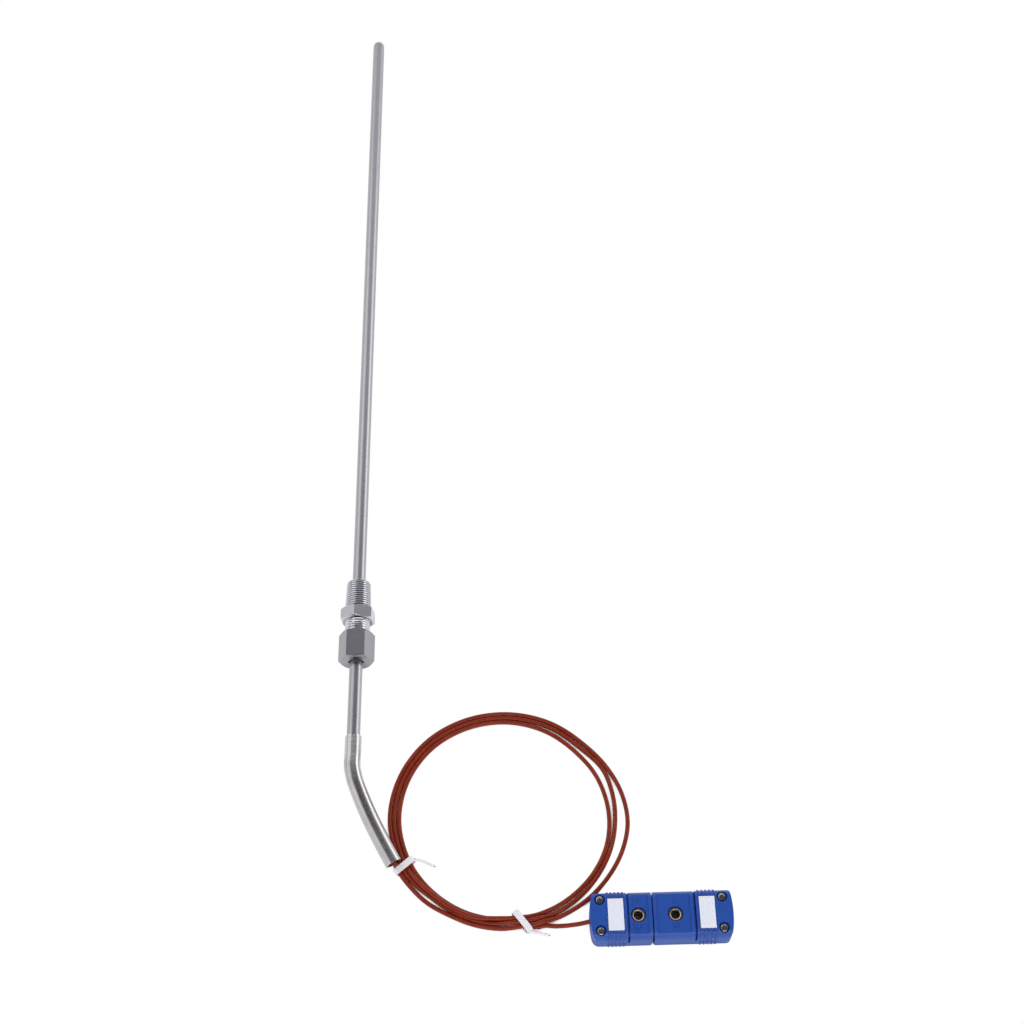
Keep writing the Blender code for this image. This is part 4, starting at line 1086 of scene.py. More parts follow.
# --------------------------------------------------------------------------- cable


@dataclass
class Cable:
    """The thin cable: out of the spring, three turns and a quarter, and into the plug."""

    lie: Lie
    spring: StrainRelief
    diameter: float = 1.65 * MM
    floor: float = 0.85 * MM
    rounds: list[tuple[float, float, float, float]] = field(
        default_factory=lambda: [
            (206.0, 43.2, 41.4, 39.75),
            (216.0, 42.5, 40.6, 39.25),
            (228.0, 42.0, 39.5, 38.6),
            (241.0, 41.1, 39.4, 38.6),
            (255.0, 41.05, 39.4, 38.6),
            (262.0, 41.05, 39.4, 38.0),
            (268.0, 41.07, 39.4, 37.75),
            (273.0, 41.08, 39.4, 37.75),
            (278.0, 41.1, 39.45, 37.77),
            (283.0, 41.2, 39.5, 37.8),
            (288.0, 41.3, 39.6, 37.85),
            (293.0, 41.5, 39.75, 37.9),
            (298.0, 41.75, 39.85, 37.95),
            (314.0, 42.65, 40.0, 38.1),
            (328.0, 43.5, 40.1, 38.4),
            (343.0, 44.6, 40.4, 38.65),
            (357.0, 45.2, 40.6, 38.5),
            (372.5, 44.3, 41.0, 38.1),
            (387.5, 42.8, 41.15, 37.7),
            (402.0, 41.5, 39.6, 37.1),
            (425.0, 41.2, 39.5, 37.4),
            (447.0, 41.1, 39.45, 37.75),
            (470.0, 41.3, 39.65, 38.0),
            (493.0, 41.7, 40.05, 38.4),
            (515.0, 41.85, 40.2, 38.5),
            (541.5, 41.9, 40.2, 38.45),
            (557.5, 41.3, 39.85, 38.15),
        ]
    )
    last: list[Pair] = field(
        default_factory=lambda: [
            (1286.0, 38.1),
            (1297.0, 37.9),
            (1308.0, 37.75),
            (1328.0, 37.75),
            (1348.0, 37.75),
            (1352.0, 37.85),
            (1355.0, 38.4),
            (1359.0, 39.7),
            (1363.0, 41.2),
            (1367.0, 42.3),
        ]
    )
    rises: tuple[tuple[float, float, float, float, float], ...] = (
        (190.0, 198.0, 200.0, 213.0, 1.5 * MM),
        (268.0, 278.0, 288.0, 298.0, 1.65 * MM),
        (623.0, 633.0, 645.0, 655.0, 1.65 * MM),
        (920.0, 946.0, 972.0, 986.0, 1.43 * MM),
        (973.0, 984.0, 996.0, 1007.0, 1.65 * MM),
    )
    tail: list[Point] = field(
        default_factory=lambda: [
            (68.97 * MM, -57.28 * MM, 0.95 * MM),
            (73.68 * MM, -57.45 * MM, 1.0 * MM),
            (77.21 * MM, -57.38 * MM, 1.3 * MM),
            (80.73 * MM, -57.2 * MM, 2.0 * MM),
            (83.65 * MM, -56.9 * MM, 2.8 * MM),
        ]
    )
    sag: Point = (0.5 * MM, -0.2 * MM, -1.8 * MM)
    plug_rear: Pair = (85.6 * MM, -56.05 * MM)
    entry_aside: float = -0.6 * MM
    entry_height: float = 3.5 * MM
    turn: float = math.radians(1.0)

    def lift(self, angle: float) -> float:
        """How far a strand rises off the floor to lie on the strands under it.

        Args:
            angle: the strand's own running angle in degrees.

        Returns:
            The rise.
        """
        highest = 0.0
        for start, top, over, end, height in self.rises:
            share = min((angle - start) / (top - start), (end - angle) / (end - over))
            share = min(max(share, 0.0), 1.0)
            highest = max(highest, height * share * share * (3 - 2 * share))
        return highest

    def route(self) -> list[Vector]:
        """The cable's chosen points, from inside the seal to inside the plug.

        Returns:
            The points in the world.
        """
        lie = self.lie
        end = lie.sheath_length
        points = [lie.axis_point(end - 5 * MM), lie.axis_point(end)]
        inside = self.spring.free[1:]
        for number, place in enumerate(inside, 1):
            sunk = number / len(inside)
            points.append(lie.from_rear(*place) + Vector(self.sag) * sunk)
        for turn in range(3):
            for angle, *radii in self.rounds:
                running = angle + 360 * turn
                height = self.floor + self.lift(running)
                points.append(lie.round_coil(running, radii[turn] * MM, height))
        for angle, radius in self.last:
            points.append(lie.round_coil(angle, radius * MM, self.floor))
        points += [lie.from_rear(*p) for p in self.tail]
        along = Vector((math.cos(self.turn), math.sin(self.turn), 0))
        entry = lie.from_rear(*self.plug_rear, self.entry_height)
        entry += Vector((-along.y, along.x, 0)) * self.entry_aside
        points += [entry, entry + along * 2.6 * MM]
        return points

    def build(self, finishes: Finishes) -> bpy.types.Object:
        """Lay and dress the cable.

        Args:
            finishes: the materials.

        Returns:
            The cable's curve object.
        """
        line = smooth_line(self.route(), 1.1 * MM)
        for point in line:
            point.z = max(point.z, self.floor)
        cable = tube("thermocouple_cable", line, self.diameter, 5)
        dress(cable, finishes.jacket, "probe", "jacket", "cable_lead", "cable_coil", "cable_tail")
        length = sum((b - a).length for a, b in zip(line, line[1:]))
        LOG.info("cable length %.4f m with %d points", length, len(line))
        return cable


@dataclass
class Tie:
    """A flat twist tie round the strands, with one free tail."""

    lie: Lie
    name: str
    angle: float
    radius: float
    slant: float
    half_width: float
    height: float
    tail: list[Point]
    width: float = 2.4 * MM
    thickness: float = 0.3 * MM
    core: float = 1.0 * MM
    wire: float = 0.4 * MM
    bare_length: float = 0.45 * MM

    def build(self, finishes: Finishes) -> list[bpy.types.Object]:
        """Build and dress the band, its tail and the tail's bare wire end.

        Args:
            finishes: the materials.

        Returns:
            The pieces.
        """
        heading = Matrix.Rotation(math.radians(self.angle + self.slant), 4, "Z")
        place = Matrix.Translation(self.lie.round_coil(self.angle, self.radius, 0)) @ heading
        reach, long = self.half_width, self.width / 2
        band = brick(f"{self.name}_band", (-reach, -long, 0.0), (reach, long, self.height))
        smaller = min(self.height, reach)
        self.round_along(band, smaller * 0.42)
        inner = reach - self.thickness
        roof = self.height - self.thickness
        room = brick("room", (-inner, -self.width, self.thickness), (inner, self.width, roof))
        self.round_along(room, smaller * 0.36)
        combine(band, room, Join.CUT)
        soften(band, 0.06 * MM, 2, 50)
        settle(band, place)
        shade(band)
        dress(band, finishes.tie, "probe", "tie_plastic", self.name)
        points = [place @ Vector(p) for p in self.tail]
        tail = to_mesh(tube(f"{self.name}_tail", smooth_line(points, 0.5 * MM), self.core, 3))
        dress(tail, finishes.tie, "probe", "tie_plastic")
        run = (points[-1] - points[-2]).normalized()
        bare = [points[-1], points[-1] + run * self.bare_length]
        tip = to_mesh(tube(f"{self.name}_wire", bare, self.wire, 3))
        dress(tip, finishes.tie_wire, "probe", "tie_plastic")
        return [band, tail, tip]

    def round_along(self, item: bpy.types.Object, radius: float) -> None:
        """Round the four edges of a box that run along Y.

        Args:
            item: the box.
            radius: the rounding's radius.
        """
        only(item)
        bpy.ops.object.mode_set(mode="EDIT")
        mesh = bmesh.from_edit_mesh(item.data)
        for edge in mesh.edges:
            a, b = edge.verts
            edge.select_set(abs(a.co.x - b.co.x) < 1e-7 and abs(a.co.z - b.co.z) < 1e-7)
        bmesh.update_edit_mesh(item.data)
        bpy.ops.mesh.bevel(offset=radius, segments=6, affect="EDGES")
        bpy.ops.object.mode_set(mode="OBJECT")


# --------------------------------------------------------------------------- connectors


def arc(x: float, y: float, radius: float, start: float, end: float, steps: int) -> list[Pair]:
    """Points on an arc.

    Args:
        x: the centre's first coordinate.
        y: the centre's second coordinate.
        radius: the arc's radius.
        start: first angle in degrees.
        end: last angle in degrees.
        steps: stretches along it.

    Returns:
        The points, both ends among them.
    """
    angles = [math.radians(start + (end - start) * k / steps) for k in range(steps + 1)]
    return [(x + radius * math.cos(a), y + radius * math.sin(a)) for a in angles]


def slab(name: str, outline: list[Pair], low: float, high: float) -> bpy.types.Object:
    """Fill an outline seen from above and extrude it.

    Args:
        name: the new object's name.
        outline: its corners in order.
        low: its underside.
        high: its top.

    Returns:
        The solid.
    """
    mesh = bpy.data.meshes.new(name)
    count = len(outline)
    rim = [(i, (i + 1) % count) for i in range(count)]
    mesh.from_pydata([(x, y, low) for x, y in outline], rim, [])
    item = bpy.data.objects.new(name, mesh)
    bpy.context.collection.objects.link(item)
    open_all(item)
    bpy.ops.mesh.edge_face_add()
    bpy.ops.mesh.extrude_region_move(TRANSFORM_OT_translate={"value": (0, 0, high - low)})
    close_outward()
    return item


@dataclass
class Connector:
    """One half of the mated pair: two shells, label, eyelet, screws and polarity marks.

    Its own frame has X from the cable end to the mating face and Z up from the floor.
    """

    side: Side
    place: Matrix
    length: float
    eyelet_from_front: float
    positive_side: int
    width: float = 17.6 * MM
    height: float = 9.6 * MM
    parting: float = 4.5 * MM
    parting_gap: float = 0.15 * MM
    shoulder: float = 3.0 * MM
    wall: float = 1.3 * MM
    arch: float = 1.0 * MM
    corner: float = 2.2 * MM
    front_corner: float = 1.0 * MM
    cap_length: float = 13.1 * MM
    notch: float = 0.7 * MM
    notch_depth: float = 1.7 * MM
    block_drop: float = 0.4 * MM
    panel_depth: float = 0.4 * MM
    panel_border: float = 1.2 * MM
    panel_side: float = 0.8 * MM
    label: Point = (6.3 * MM, 5.6 * MM, 11.5 * MM)
    ribs: int = 5
    rib_pitch: float = 1.35 * MM
    rib_width: float = 0.7 * MM
    rib_rise: float = 0.35 * MM
    screw_at: Pair = (3.6 * MM, 5.5 * MM)
    screw_sink: float = 1.6 * MM
    screw_head: float = 3.0 * MM
    sink_width: float = 3.9 * MM
    eyelet_bore: float = 3.2 * MM
    eyelet_width: float = 4.9 * MM
    eyelet_sink: float = 1.6 * MM
    pin_spacing: float = 8.2 * MM
    pin_thickness: float = 0.8 * MM
    pin_widths: Pair = (2.4 * MM, 3.2 * MM)
    entry: float = 4.6 * MM
    screw_hole: float = 0.95 * MM
    clearance: float = 0.3 * MM

    @property
    def half(self) -> float:
        """Half of the width."""
        return self.width / 2

    @property
    def body(self) -> str:
        """The CAD body this half rides on."""
        return "probe" if self.side is Side.PLUG else "socket"

    @property
    def panel_top(self) -> float:
        """Height of the sunk panel."""
        return self.height - self.block_drop - self.panel_depth

    @property
    def eyelet_x(self) -> float:
        """The eyelet's place along X."""
        return self.length - self.eyelet_from_front

    def outline(self, length: float, front: float) -> list[Pair]:
        """Plan of a shell: arched end, round corners, nearly square front.

        Args:
            length: the shell's length.
            front: radius of the two front corners.

        Returns:
            The corners in order.
        """
        half, corner = self.half, self.corner
        big = (half**2 + self.arch**2) / (2 * self.arch)
        centre = big - math.sqrt((big - corner) ** 2 - (half - corner) ** 2)
        lean = math.degrees(math.asin((half - corner) / (big - corner)))
        end = arc(big, 0, big, 180 - lean, 180 + lean, 24)
        near = arc(centre, corner - half, corner, 180 + lean, 270, 8)[1:]
        front_near = arc(length - front, front - half, front, 270, 360, 4)
        front_far = arc(length - front, half - front, front, 0, 90, 4)
        far = arc(centre, half - corner, corner, 90, 180 - lean, 8)[:-1]
        return [*end, *near, *front_near, *front_far, *far]

    def pillow(
        self, name: str, start: float, end: float, drop: float = 0.0, grow: float = 0.0
    ) -> bpy.types.Object:
        """A bar along X with the shells' full section: flat top and round shoulders.

        Args:
            name: the new object's name.
            start: where it starts along X.
            end: where it ends.
            drop: how much lower its top is.
            grow: how much wider each side is.

        Returns:
            The solid.
        """
        top = self.height - drop
        squash = (top - self.parting) / (self.shoulder + grow)
        side = self.half + grow
        item = brick(name, (start, -side, 0), (end, side, top / squash))
        self.bevel_along(item, self.shoulder + grow, 8, top / squash)
        open_all(item)
        bpy.ops.transform.resize(value=(1, 1, squash), center_override=(0, 0, 0))
        bpy.ops.object.mode_set(mode="OBJECT")
        self.bevel_along(item, 0.4 * MM, 2, 0.0)
        return item

    def bevel_along(self, item: bpy.types.Object, width: float, steps: int, height: float) -> None:
        """Round the two outer edges that run along X at one height.

        Args:
            item: the bar.
            width: how far the rounding reaches.
            steps: faces across it.
            height: where the edges are.
        """
        only(item)
        bpy.ops.object.mode_set(mode="EDIT")
        bpy.ops.mesh.select_all(action="DESELECT")
        mesh = bmesh.from_edit_mesh(item.data)
        for edge in mesh.edges:
            a, b = edge.verts
            along = abs(a.co.y - b.co.y) < 1e-7 and abs(a.co.z - b.co.z) < 1e-7
            edge.select_set(along and abs(a.co.z - height) < 1e-6)
        bmesh.update_edit_mesh(item.data)
        bpy.ops.mesh.bevel(offset=width, segments=steps, affect="EDGES")
        bpy.ops.object.mode_set(mode="OBJECT")

    def add_ribs(self, shell: bpy.types.Object, low: float, high: float) -> None:
        """Join the grip ribs of both sides to a shell.

        Args:
            shell: the shell.
            low: the ribs' lower end.
            high: their upper end.
        """
        start, wide, long = self.label
        middle = start + wide / 2
        inner = long / 2 + 0.45 * MM
        rise = self.rib_rise
        for index in range(self.ribs):
            x = middle + (index - (self.ribs - 1) / 2) * self.rib_pitch
            rib = self.pillow("rib", x - self.rib_width / 2, x + self.rib_width / 2, -rise, rise)
            soften(rib, 0.2 * MM, 2, 60)
            band = brick("band", (0, -self.width, low), (self.length, self.width, high))
            combine(rib, band, Join.KEEP)
            gap = brick("gap", (0, -inner, -self.height), (self.length, inner, 2 * self.height))
            combine(rib, gap, Join.CUT)
            combine(shell, rib, Join.ADD)

    def cavity(self, low: float, high: float) -> bpy.types.Object:
        """The room for the terminals.

        Args:
            low: its floor.
            high: its top.

        Returns:
            The cutting solid.
        """
        step = self.screw_at[0] + 2.8 * MM
        throat = self.screw_at[1] - 2.9 * MM
        wide = self.half - 1.5 * self.wall
        rear = self.arch + self.wall
        front = self.cap_length - 0.65 * MM
        outline = [
            (rear, -throat), (step, -throat), (step, -wide), (front, -wide),
            (front, wide), (step, wide), (step, throat), (rear, throat),
        ]
        return slab("cavity", outline, low, high)

    def slot(self, side: int) -> Pair:
        """Where a pin's slot lies across the connector.

        Args:
            side: which side of the middle, -1 or 1.

        Returns:
            The slot's middle and half of its width.
        """
        wide = self.pin_widths[0] if side == self.positive_side else self.pin_widths[1]
        return side * self.pin_spacing / 2, wide / 2 + self.clearance

    def cut_entry(self, shell: bpy.types.Object) -> None:
        """Cut the cable's hole through the plug's arched end.

        Args:
            shell: the shell.
        """
        hole = bar("entry", 48, self.entry / 2, -1 * MM, self.arch + self.wall + self.clearance)
        flat = Matrix.Rotation(math.pi / 2, 4, "Y")
        settle(hole, Matrix.Translation((0, 0, self.parting)) @ flat)
        combine(shell, hole, Join.CUT)

    def build_base(self, finishes: Finishes) -> bpy.types.Object:
        """Build and dress the lower shell with its full-height front block.

        Args:
            finishes: the materials.

        Returns:
            The piece.
        """
        name = self.side.value
        plan = self.outline(self.length, self.front_corner)
        base = slab(f"{name}_lower_shell", plan, 0, self.height)
        section = self.pillow("section", -1 * MM, self.length + 1 * MM, self.block_drop)
        combine(base, section, Join.KEEP)
        block = self.cap_length + self.notch
        side = self.width
        combine(base, brick("room", (-side, -side, self.parting), (block, side, side)), Join.CUT)
        ledge = self.half - self.shoulder / 2
        sill = brick(
            "sill",
            (self.cap_length + self.parting_gap, -ledge, self.parting - self.wall / 2),
            (block + self.wall / 2, ledge, self.height - self.notch_depth),
        )
        combine(base, sill, Join.ADD)
        panel = brick(
            "panel",
            (block + self.panel_border, self.panel_side - self.half, self.panel_top),
            (self.length - self.panel_border, self.half - self.panel_side, side),
        )
        combine(base, panel, Join.CUT)
        soften(base, 0.14 * MM, 2, 40)
        self.add_ribs(base, 0.8 * MM, self.parting - 0.4 * MM)
        combine(base, self.cavity(self.wall, self.height), Join.CUT)
        low, high = self.parting - 0.9 * MM, self.parting + 0.5 * MM
        rear, front = block - 2 * MM, self.length - self.wall
        for side_sign in (-1, 1):
            y, wide = self.slot(side_sign)
            slot = brick("slot", (rear, y - wide, low), (side * 2, y + wide, high))
            combine(base, slot, Join.CUT)
            if self.side is Side.SOCKET:
                deep = 0.5 * MM
                pocket = brick("pocket", (rear, y - wide, low - deep), (front, y + wide, high + deep))
                combine(base, pocket, Join.CUT)
            x, y = self.screw_at
            hole = bar("hole", 24, self.screw_hole, self.wall, self.parting + 1 * MM)
            settle(hole, Matrix.Translation((x, side_sign * y, 0)))
            combine(base, hole, Join.CUT)
        self.cut_eyelet_hole(base)
        if self.side is Side.PLUG:
            self.cut_entry(base)
        self.add_marks(base)
        settle(base, self.place)
        shade(base, 32)
        dress(base, finishes.nylon, self.body, "blue_shell", f"{name}_base")
        return base

    def cut_eyelet_hole(self, base: bpy.types.Object) -> None:
        """Cut the eyelet's stepped hole.

        Args:
            base: the lower shell.
        """
        wide = self.eyelet_width / 2 + self.clearance
        shank = self.eyelet_bore / 2 + 0.4 * MM
        low, top = self.eyelet_sink, self.panel_top
        mouth = wide + 0.2 * MM
        profile = [(wide, -1 * MM), (wide, low), (shank, low), (shank, top - low), (wide, top - low)]
        profile += [(wide, top - 0.1 * MM), (mouth, top + 0.1 * MM), (mouth, self.height)]
        hole = turned("eyelet_hole", profile, 64)
        settle(hole, Matrix.Translation((self.eyelet_x, 0, 0)))
        combine(base, hole, Join.CUT)

    def add_marks(self, base: bpy.types.Object) -> None:
        """Join the raised plus and minus to the sunk panel.

        Args:
            base: the lower shell.
        """
        low, high = self.panel_top - 0.2 * MM, self.panel_top + 0.35 * MM
        long, thin = 1.2 * MM, 0.22 * MM
        x = self.eyelet_x
        minus = -self.positive_side * 5.0 * MM
        plus = self.positive_side * 4.4 * MM
        for y, wide, deep in ((minus, thin, long), (plus, thin, long), (plus, long, thin)):
            mark = brick("mark", (x - wide, y - deep, low), (x + wide, y + deep, high))
            soften(mark, 0.07 * MM, 2)
            combine(base, mark, Join.ADD)

    def build_cap(self, finishes: Finishes) -> bpy.types.Object:
        """Build and dress the upper shell.

        Args:
            finishes: the materials.

        Returns:
            The piece.
        """
        name = self.side.value
        low = self.parting + self.parting_gap
        over = self.height + 1 * MM
        cap = slab(f"{name}_upper_shell", self.outline(self.cap_length, 0.3 * MM), low, over)
        combine(cap, self.pillow("section", -1 * MM, self.cap_length + 1 * MM), Join.KEEP)
        soften(cap, 0.16 * MM, 2, 40)
        self.add_ribs(cap, low + 0.25 * MM, self.height)
        combine(cap, self.cavity(-1 * MM, self.height - 1.7 * MM), Join.CUT)
        start, wide, long = self.label
        gap = 0.15 * MM
        window = brick(
            "window",
            (start - gap, -long / 2 - gap, self.height - 0.625 * MM),
            (start + wide + gap, long / 2 + gap, over),
        )
        combine(cap, window, Join.CUT)
        hole, side, seat = self.screw_hole, self.sink_width / 2, self.height - self.screw_sink
        lip = side + 0.2 * MM
        profile = [(hole, 0), (hole, seat), (side, seat), (side, self.height - 0.12 * MM)]
        profile += [(lip, self.height + 0.1 * MM), (lip, over)]
        rear, front, roof = self.cap_length - 2 * MM, self.cap_length + 1 * MM, self.parting + 1 * MM
        for side_sign in (-1, 1):
            x, y = self.screw_at
            sink = turned("sink", profile, 48)
            settle(sink, Matrix.Translation((x, side_sign * y, 0)))
            combine(cap, sink, Join.CUT)
            y, wide = self.slot(side_sign)
            combine(cap, brick("mouth", (rear, y - wide, 0), (front, y + wide, roof)), Join.CUT)
        if self.side is Side.PLUG:
            self.cut_entry(cap)
        settle(cap, self.place)
        shade(cap, 32)
        dress(cap, finishes.nylon, self.body, "blue_shell", f"{name}_cap")
        return cap

    def build_label(self, finishes: Finishes) -> bpy.types.Object:
        """Build and dress the blank label.

        Args:
            finishes: the materials.

        Returns:
            The piece.
        """
        name = self.side.value
        start, wide, long = self.label
        low = self.height - 0.475 * MM
        high = low + 0.4 * MM
        corners = (start, -long / 2, low), (start + wide, long / 2, high)
        label = brick(f"{name}_blank_label", *corners)
        soften(label, 0.1 * MM, 2)
        settle(label, self.place)
        shade(label)
        dress(label, finishes.label, self.body, "label", f"{name}_label")
        return label

    def build_eyelet(self, finishes: Finishes) -> bpy.types.Object:
        """Build and dress the hollow rivet with its two rolled rims.

        Args:
            finishes: the materials.

        Returns:
            The piece.
        """
        name = self.side.value
        bore, rim = self.eyelet_bore / 2, self.eyelet_width / 2
        shank = bore + 0.25 * MM
        top = self.panel_top - self.eyelet_sink + 0.15 * MM
        bottom = self.eyelet_sink - 0.15 * MM
        roll = 0.3 * MM
        middle = (bore + rim) / 2
        reach = (rim - bore) / 2
        upper: list[Pair] = []
        for step in range(13):
            angle = math.pi * step / 12
            height = top + 0.1 * MM + roll * math.sin(angle)
            upper.append((middle + reach * math.cos(angle), height))
        lower: list[Pair] = []
        for step in range(9):
            angle = math.pi * step / 8
            height = bottom - 0.1 * MM - roll * math.sin(angle)
            lower.append((middle - reach * math.cos(angle), height))
        profile = [*lower, (rim, bottom), (shank, bottom), (shank, top), (rim, top), *upper]
        eyelet = turned(f"{name}_rolled_eyelet", profile, 64, tube=True)
        settle(eyelet, self.place @ Matrix.Translation((self.eyelet_x, 0, 0)))
        shade(eyelet)
        dress(eyelet, finishes.eyelet, self.body, "plated_brass", f"{name}_eyelet")
        return eyelet

    def build_screw(
        self, number: int, side_sign: int, turn: float, finishes: Finishes
    ) -> bpy.types.Object:
        """Build and dress one cap screw with a cross recess.

        Args:
            number: the screw's number in the CAD.
            side_sign: which side of the middle, -1 or 1.
            turn: how far its recess is turned, in degrees.
            finishes: the materials.

        Returns:
            The piece.
        """
        name = self.side.value
        radius = self.screw_head / 2
        shank = 0.8 * MM
        seat = self.height - self.screw_sink + 0.15 * MM
        profile = [(shank, self.wall + 0.15 * MM), (shank, seat)]
        profile += [(radius - 0.08 * MM, seat), (radius, seat + 0.1 * MM)]
        for step in range(6):
            angle = math.pi / 2 * step / 6
            height = seat + 0.35 * MM + 0.55 * MM * math.sin(angle)
            profile.append((radius * math.cos(angle) ** 0.6, height))
        screw = turned(f"{name}_cross_screw_{number}", profile, 48)
        deepen = Matrix.Translation((0, 0, seat + 0.9 * MM)) @ Matrix.Diagonal((1, 1, 2.6, 1))
        for quarter in range(2):
            slot = bar("slot", 4, 0.26 * MM, -radius * 0.66, radius * 0.66, math.pi / 4)
            flat = Matrix.Rotation(math.pi / 2, 4, "Y")
            settle(slot, deepen @ Matrix.Rotation(quarter * math.pi / 2, 4, "Z") @ flat)
            combine(screw, slot, Join.CUT)
        x, y = self.screw_at
        spot = Matrix.Translation((x, side_sign * y, 0)) @ Matrix.Rotation(math.radians(turn), 4, "Z")
        settle(screw, self.place @ spot)
        shade(screw)
        dress(screw, finishes.nickel, self.body, "nickel_screw", f"{name}_cap_screw_{number}")
        return screw

    def build(self, finishes: Finishes) -> list[bpy.types.Object]:
        """Build all pieces of this half.

        Args:
            finishes: the materials.

        Returns:
            The pieces.
        """
        return [
            self.build_base(finishes),
            self.build_cap(finishes),
            self.build_label(finishes),
            self.build_eyelet(finishes),
            self.build_screw(1, 1, 20.0, finishes),
            self.build_screw(2, -1, 65.0, finishes),
        ]


# --------------------------------------------------------------------------- studio


@dataclass(frozen=True)
class SoftBox:
    """A rectangular lamp that points at the part."""

    name: str
    place: Point
    size: Pair
    power: float
    mirrored: bool = True

    def build(self, target: Point) -> None:
        """Hang the lamp.

        Args:
            target: where it points.
        """
        data = bpy.data.lights.new(self.name, "AREA")
        data.shape = "RECTANGLE"
        data.size, data.size_y = self.size
        data.energy = self.power
        lamp = bpy.data.objects.new(self.name, data)
        lamp.location = self.place
        aim = Vector(target) - Vector(self.place)
        lamp.rotation_euler = aim.to_track_quat("-Z", "Y").to_euler()
        lamp.visible_glossy = self.mirrored
        bpy.context.scene.collection.objects.link(lamp)


@dataclass
class Studio:
    """The pale floor, the soft lights and the camera of the picture."""

    camera_place: Point = (0.05623, -0.41963, 0.62311)
    down: float = 60.7
    turn: float = 0.602
    lens: float = 62.43
    sensor: float = 36.0
    floor_width: float = 6.0
    floor_drop: float = 0.2 * MM
    shade_reach: float = 6.0 * MM
    target: Point = (0.03, -0.1, 0.0)
    boxes: tuple[SoftBox, ...] = (
        SoftBox("left_box", (-0.77, 0.15, 0.71), (1.5, 0.8), 3.1),
        SoftBox("right_box", (0.98, 0.35, 0.36), (1.0, 0.55), 2.4),
        SoftBox("top_box", (0.1, -0.6, 1.2), (1.2, 0.8), 5.8, mirrored=False),
        SoftBox("front_box", (0.1, -1.2, 0.5), (1.6, 0.6), 5.5),
    )

    def build_camera(self) -> None:
        """Place the camera where the picture was taken from."""
        data = bpy.data.cameras.new("studio_camera")
        data.lens = self.lens
        data.sensor_width = self.sensor
        data.clip_start = 0.01
        data.clip_end = 20.0
        camera = bpy.data.objects.new("studio_camera", data)
        camera.location = self.camera_place
        camera.rotation_euler = (math.radians(90 - self.down), 0, -math.radians(self.turn))
        bpy.context.scene.collection.objects.link(camera)
        bpy.context.scene.camera = camera

    def make_paper(self) -> bpy.types.Material:
        """Matt white paper that glows even white where it is seen, with a painted shadow from ambient
        occlusion close to the part.

        Returns:
            The floor's material.
        """
        material, tree, shader = Finish("white_paper_floor", "#FFFFFF", 0.9).start()
        path = add_node(tree, "ShaderNodeLightPath").outputs
        rays = {0: path["Is Camera Ray"], 1: path["Is Glossy Ray"]}
        seen = add_node(tree, "ShaderNodeMath", {"operation": "MAXIMUM"}, rays)
        rays = {0: seen.outputs["Value"], 1: path["Is Transmission Ray"]}
        either = add_node(tree, "ShaderNodeMath", {"operation": "MAXIMUM"}, rays)
        # The white glow is dimmed by ambient occlusion: a painted shadow round the part and where the
        # floor is seen through its holes.
        reach = {"Distance": self.shade_reach, "samples": 8}
        clear = add_node(tree, "ShaderNodeAmbientOcclusion", reach).outputs["AO"]
        # In steel the floor is white only where it is quite clear, so the painted shadow reaches further
        # in reflections and a bar keeps a dark edge.
        limits = between((0.0, 1.0), (0.35, 1.0))
        full = add_node(tree, "ShaderNodeMapRange", limits, {"Value": path["Is Glossy Ray"]})
        feeds = {"Value": clear, "From Max": full.outputs["Result"]}
        strength = add_node(tree, "ShaderNodeMapRange", {"From Min": 0.12}, feeds)
        glow = {"Color": linear("#FFFFFF")}
        white = add_node(tree, "ShaderNodeEmission", glow, {"Strength": strength.outputs["Result"]})
        pair = {0: either.outputs["Value"], 1: shader.outputs["BSDF"], 2: white.outputs["Emission"]}
        mixed = add_node(tree, "ShaderNodeMixShader", links=pair)
        tree.links.new(mixed.outputs["Shader"], tree.nodes["Material Output"].inputs["Surface"])
        return material

    def build_floor(self) -> None:
        """Lay the floor just under the part."""
        bpy.ops.object.select_all(action="DESELECT")
        bpy.ops.mesh.primitive_plane_add(size=self.floor_width, location=(0, 0, -self.floor_drop))
        floor = bpy.context.active_object
        floor.name = "studio_floor"
        bpy.ops.object.transform_apply(location=True, rotation=True, scale=True)
        floor.data.materials.append(self.make_paper())

    def build_world(self) -> None:
        """Hang a pale tent round the part: dark overhead, bright behind, dim low in front.

        The camera itself sees plain white there.
        """
        world = bpy.data.worlds.new("studio_world")
        bpy.context.scene.world = world
        world.use_nodes = True
        tree = world.node_tree
        tent = tree.nodes["Background"]
        tent.inputs["Color"].default_value = linear("#F4F4F8")
        direction = add_node(tree, "ShaderNodeTexCoord").outputs["Generated"]
        parts = add_node(tree, "ShaderNodeSeparateXYZ", links={"Vector": direction}).outputs
        bands = (
            ("Z", (0.35, 0.68), (0.85, 0.1)),
            ("Y", (0.34, 0.66), (0.1, 0.9)),
            ("Y", (-0.8, -0.45), (0.3, 1.0)),
        )
        sides, rear, front = (
            add_node(tree, "ShaderNodeMapRange", between(*ends), {"Value": parts[axis]}).outputs["Result"]
            for axis, *ends in bands
        )
        best = add_node(tree, "ShaderNodeMath", {"operation": "MAXIMUM"}, {0: sides, 1: rear})
        feeds = {0: best.outputs["Value"], 1: front}
        level = add_node(tree, "ShaderNodeMath", {"operation": "MULTIPLY"}, feeds)
        tree.links.new(level.outputs["Value"], tent.inputs["Strength"])
        white = add_node(tree, "ShaderNodeBackground", {"Color": linear("#FFFFFF")})
        camera_ray = add_node(tree, "ShaderNodeLightPath").outputs["Is Camera Ray"]
        pair = {0: camera_ray, 1: tent.outputs["Background"], 2: white.outputs["Background"]}
        mixed = add_node(tree, "ShaderNodeMixShader", links=pair)
        tree.links.new(mixed.outputs["Shader"], tree.nodes["World Output"].inputs["Surface"])

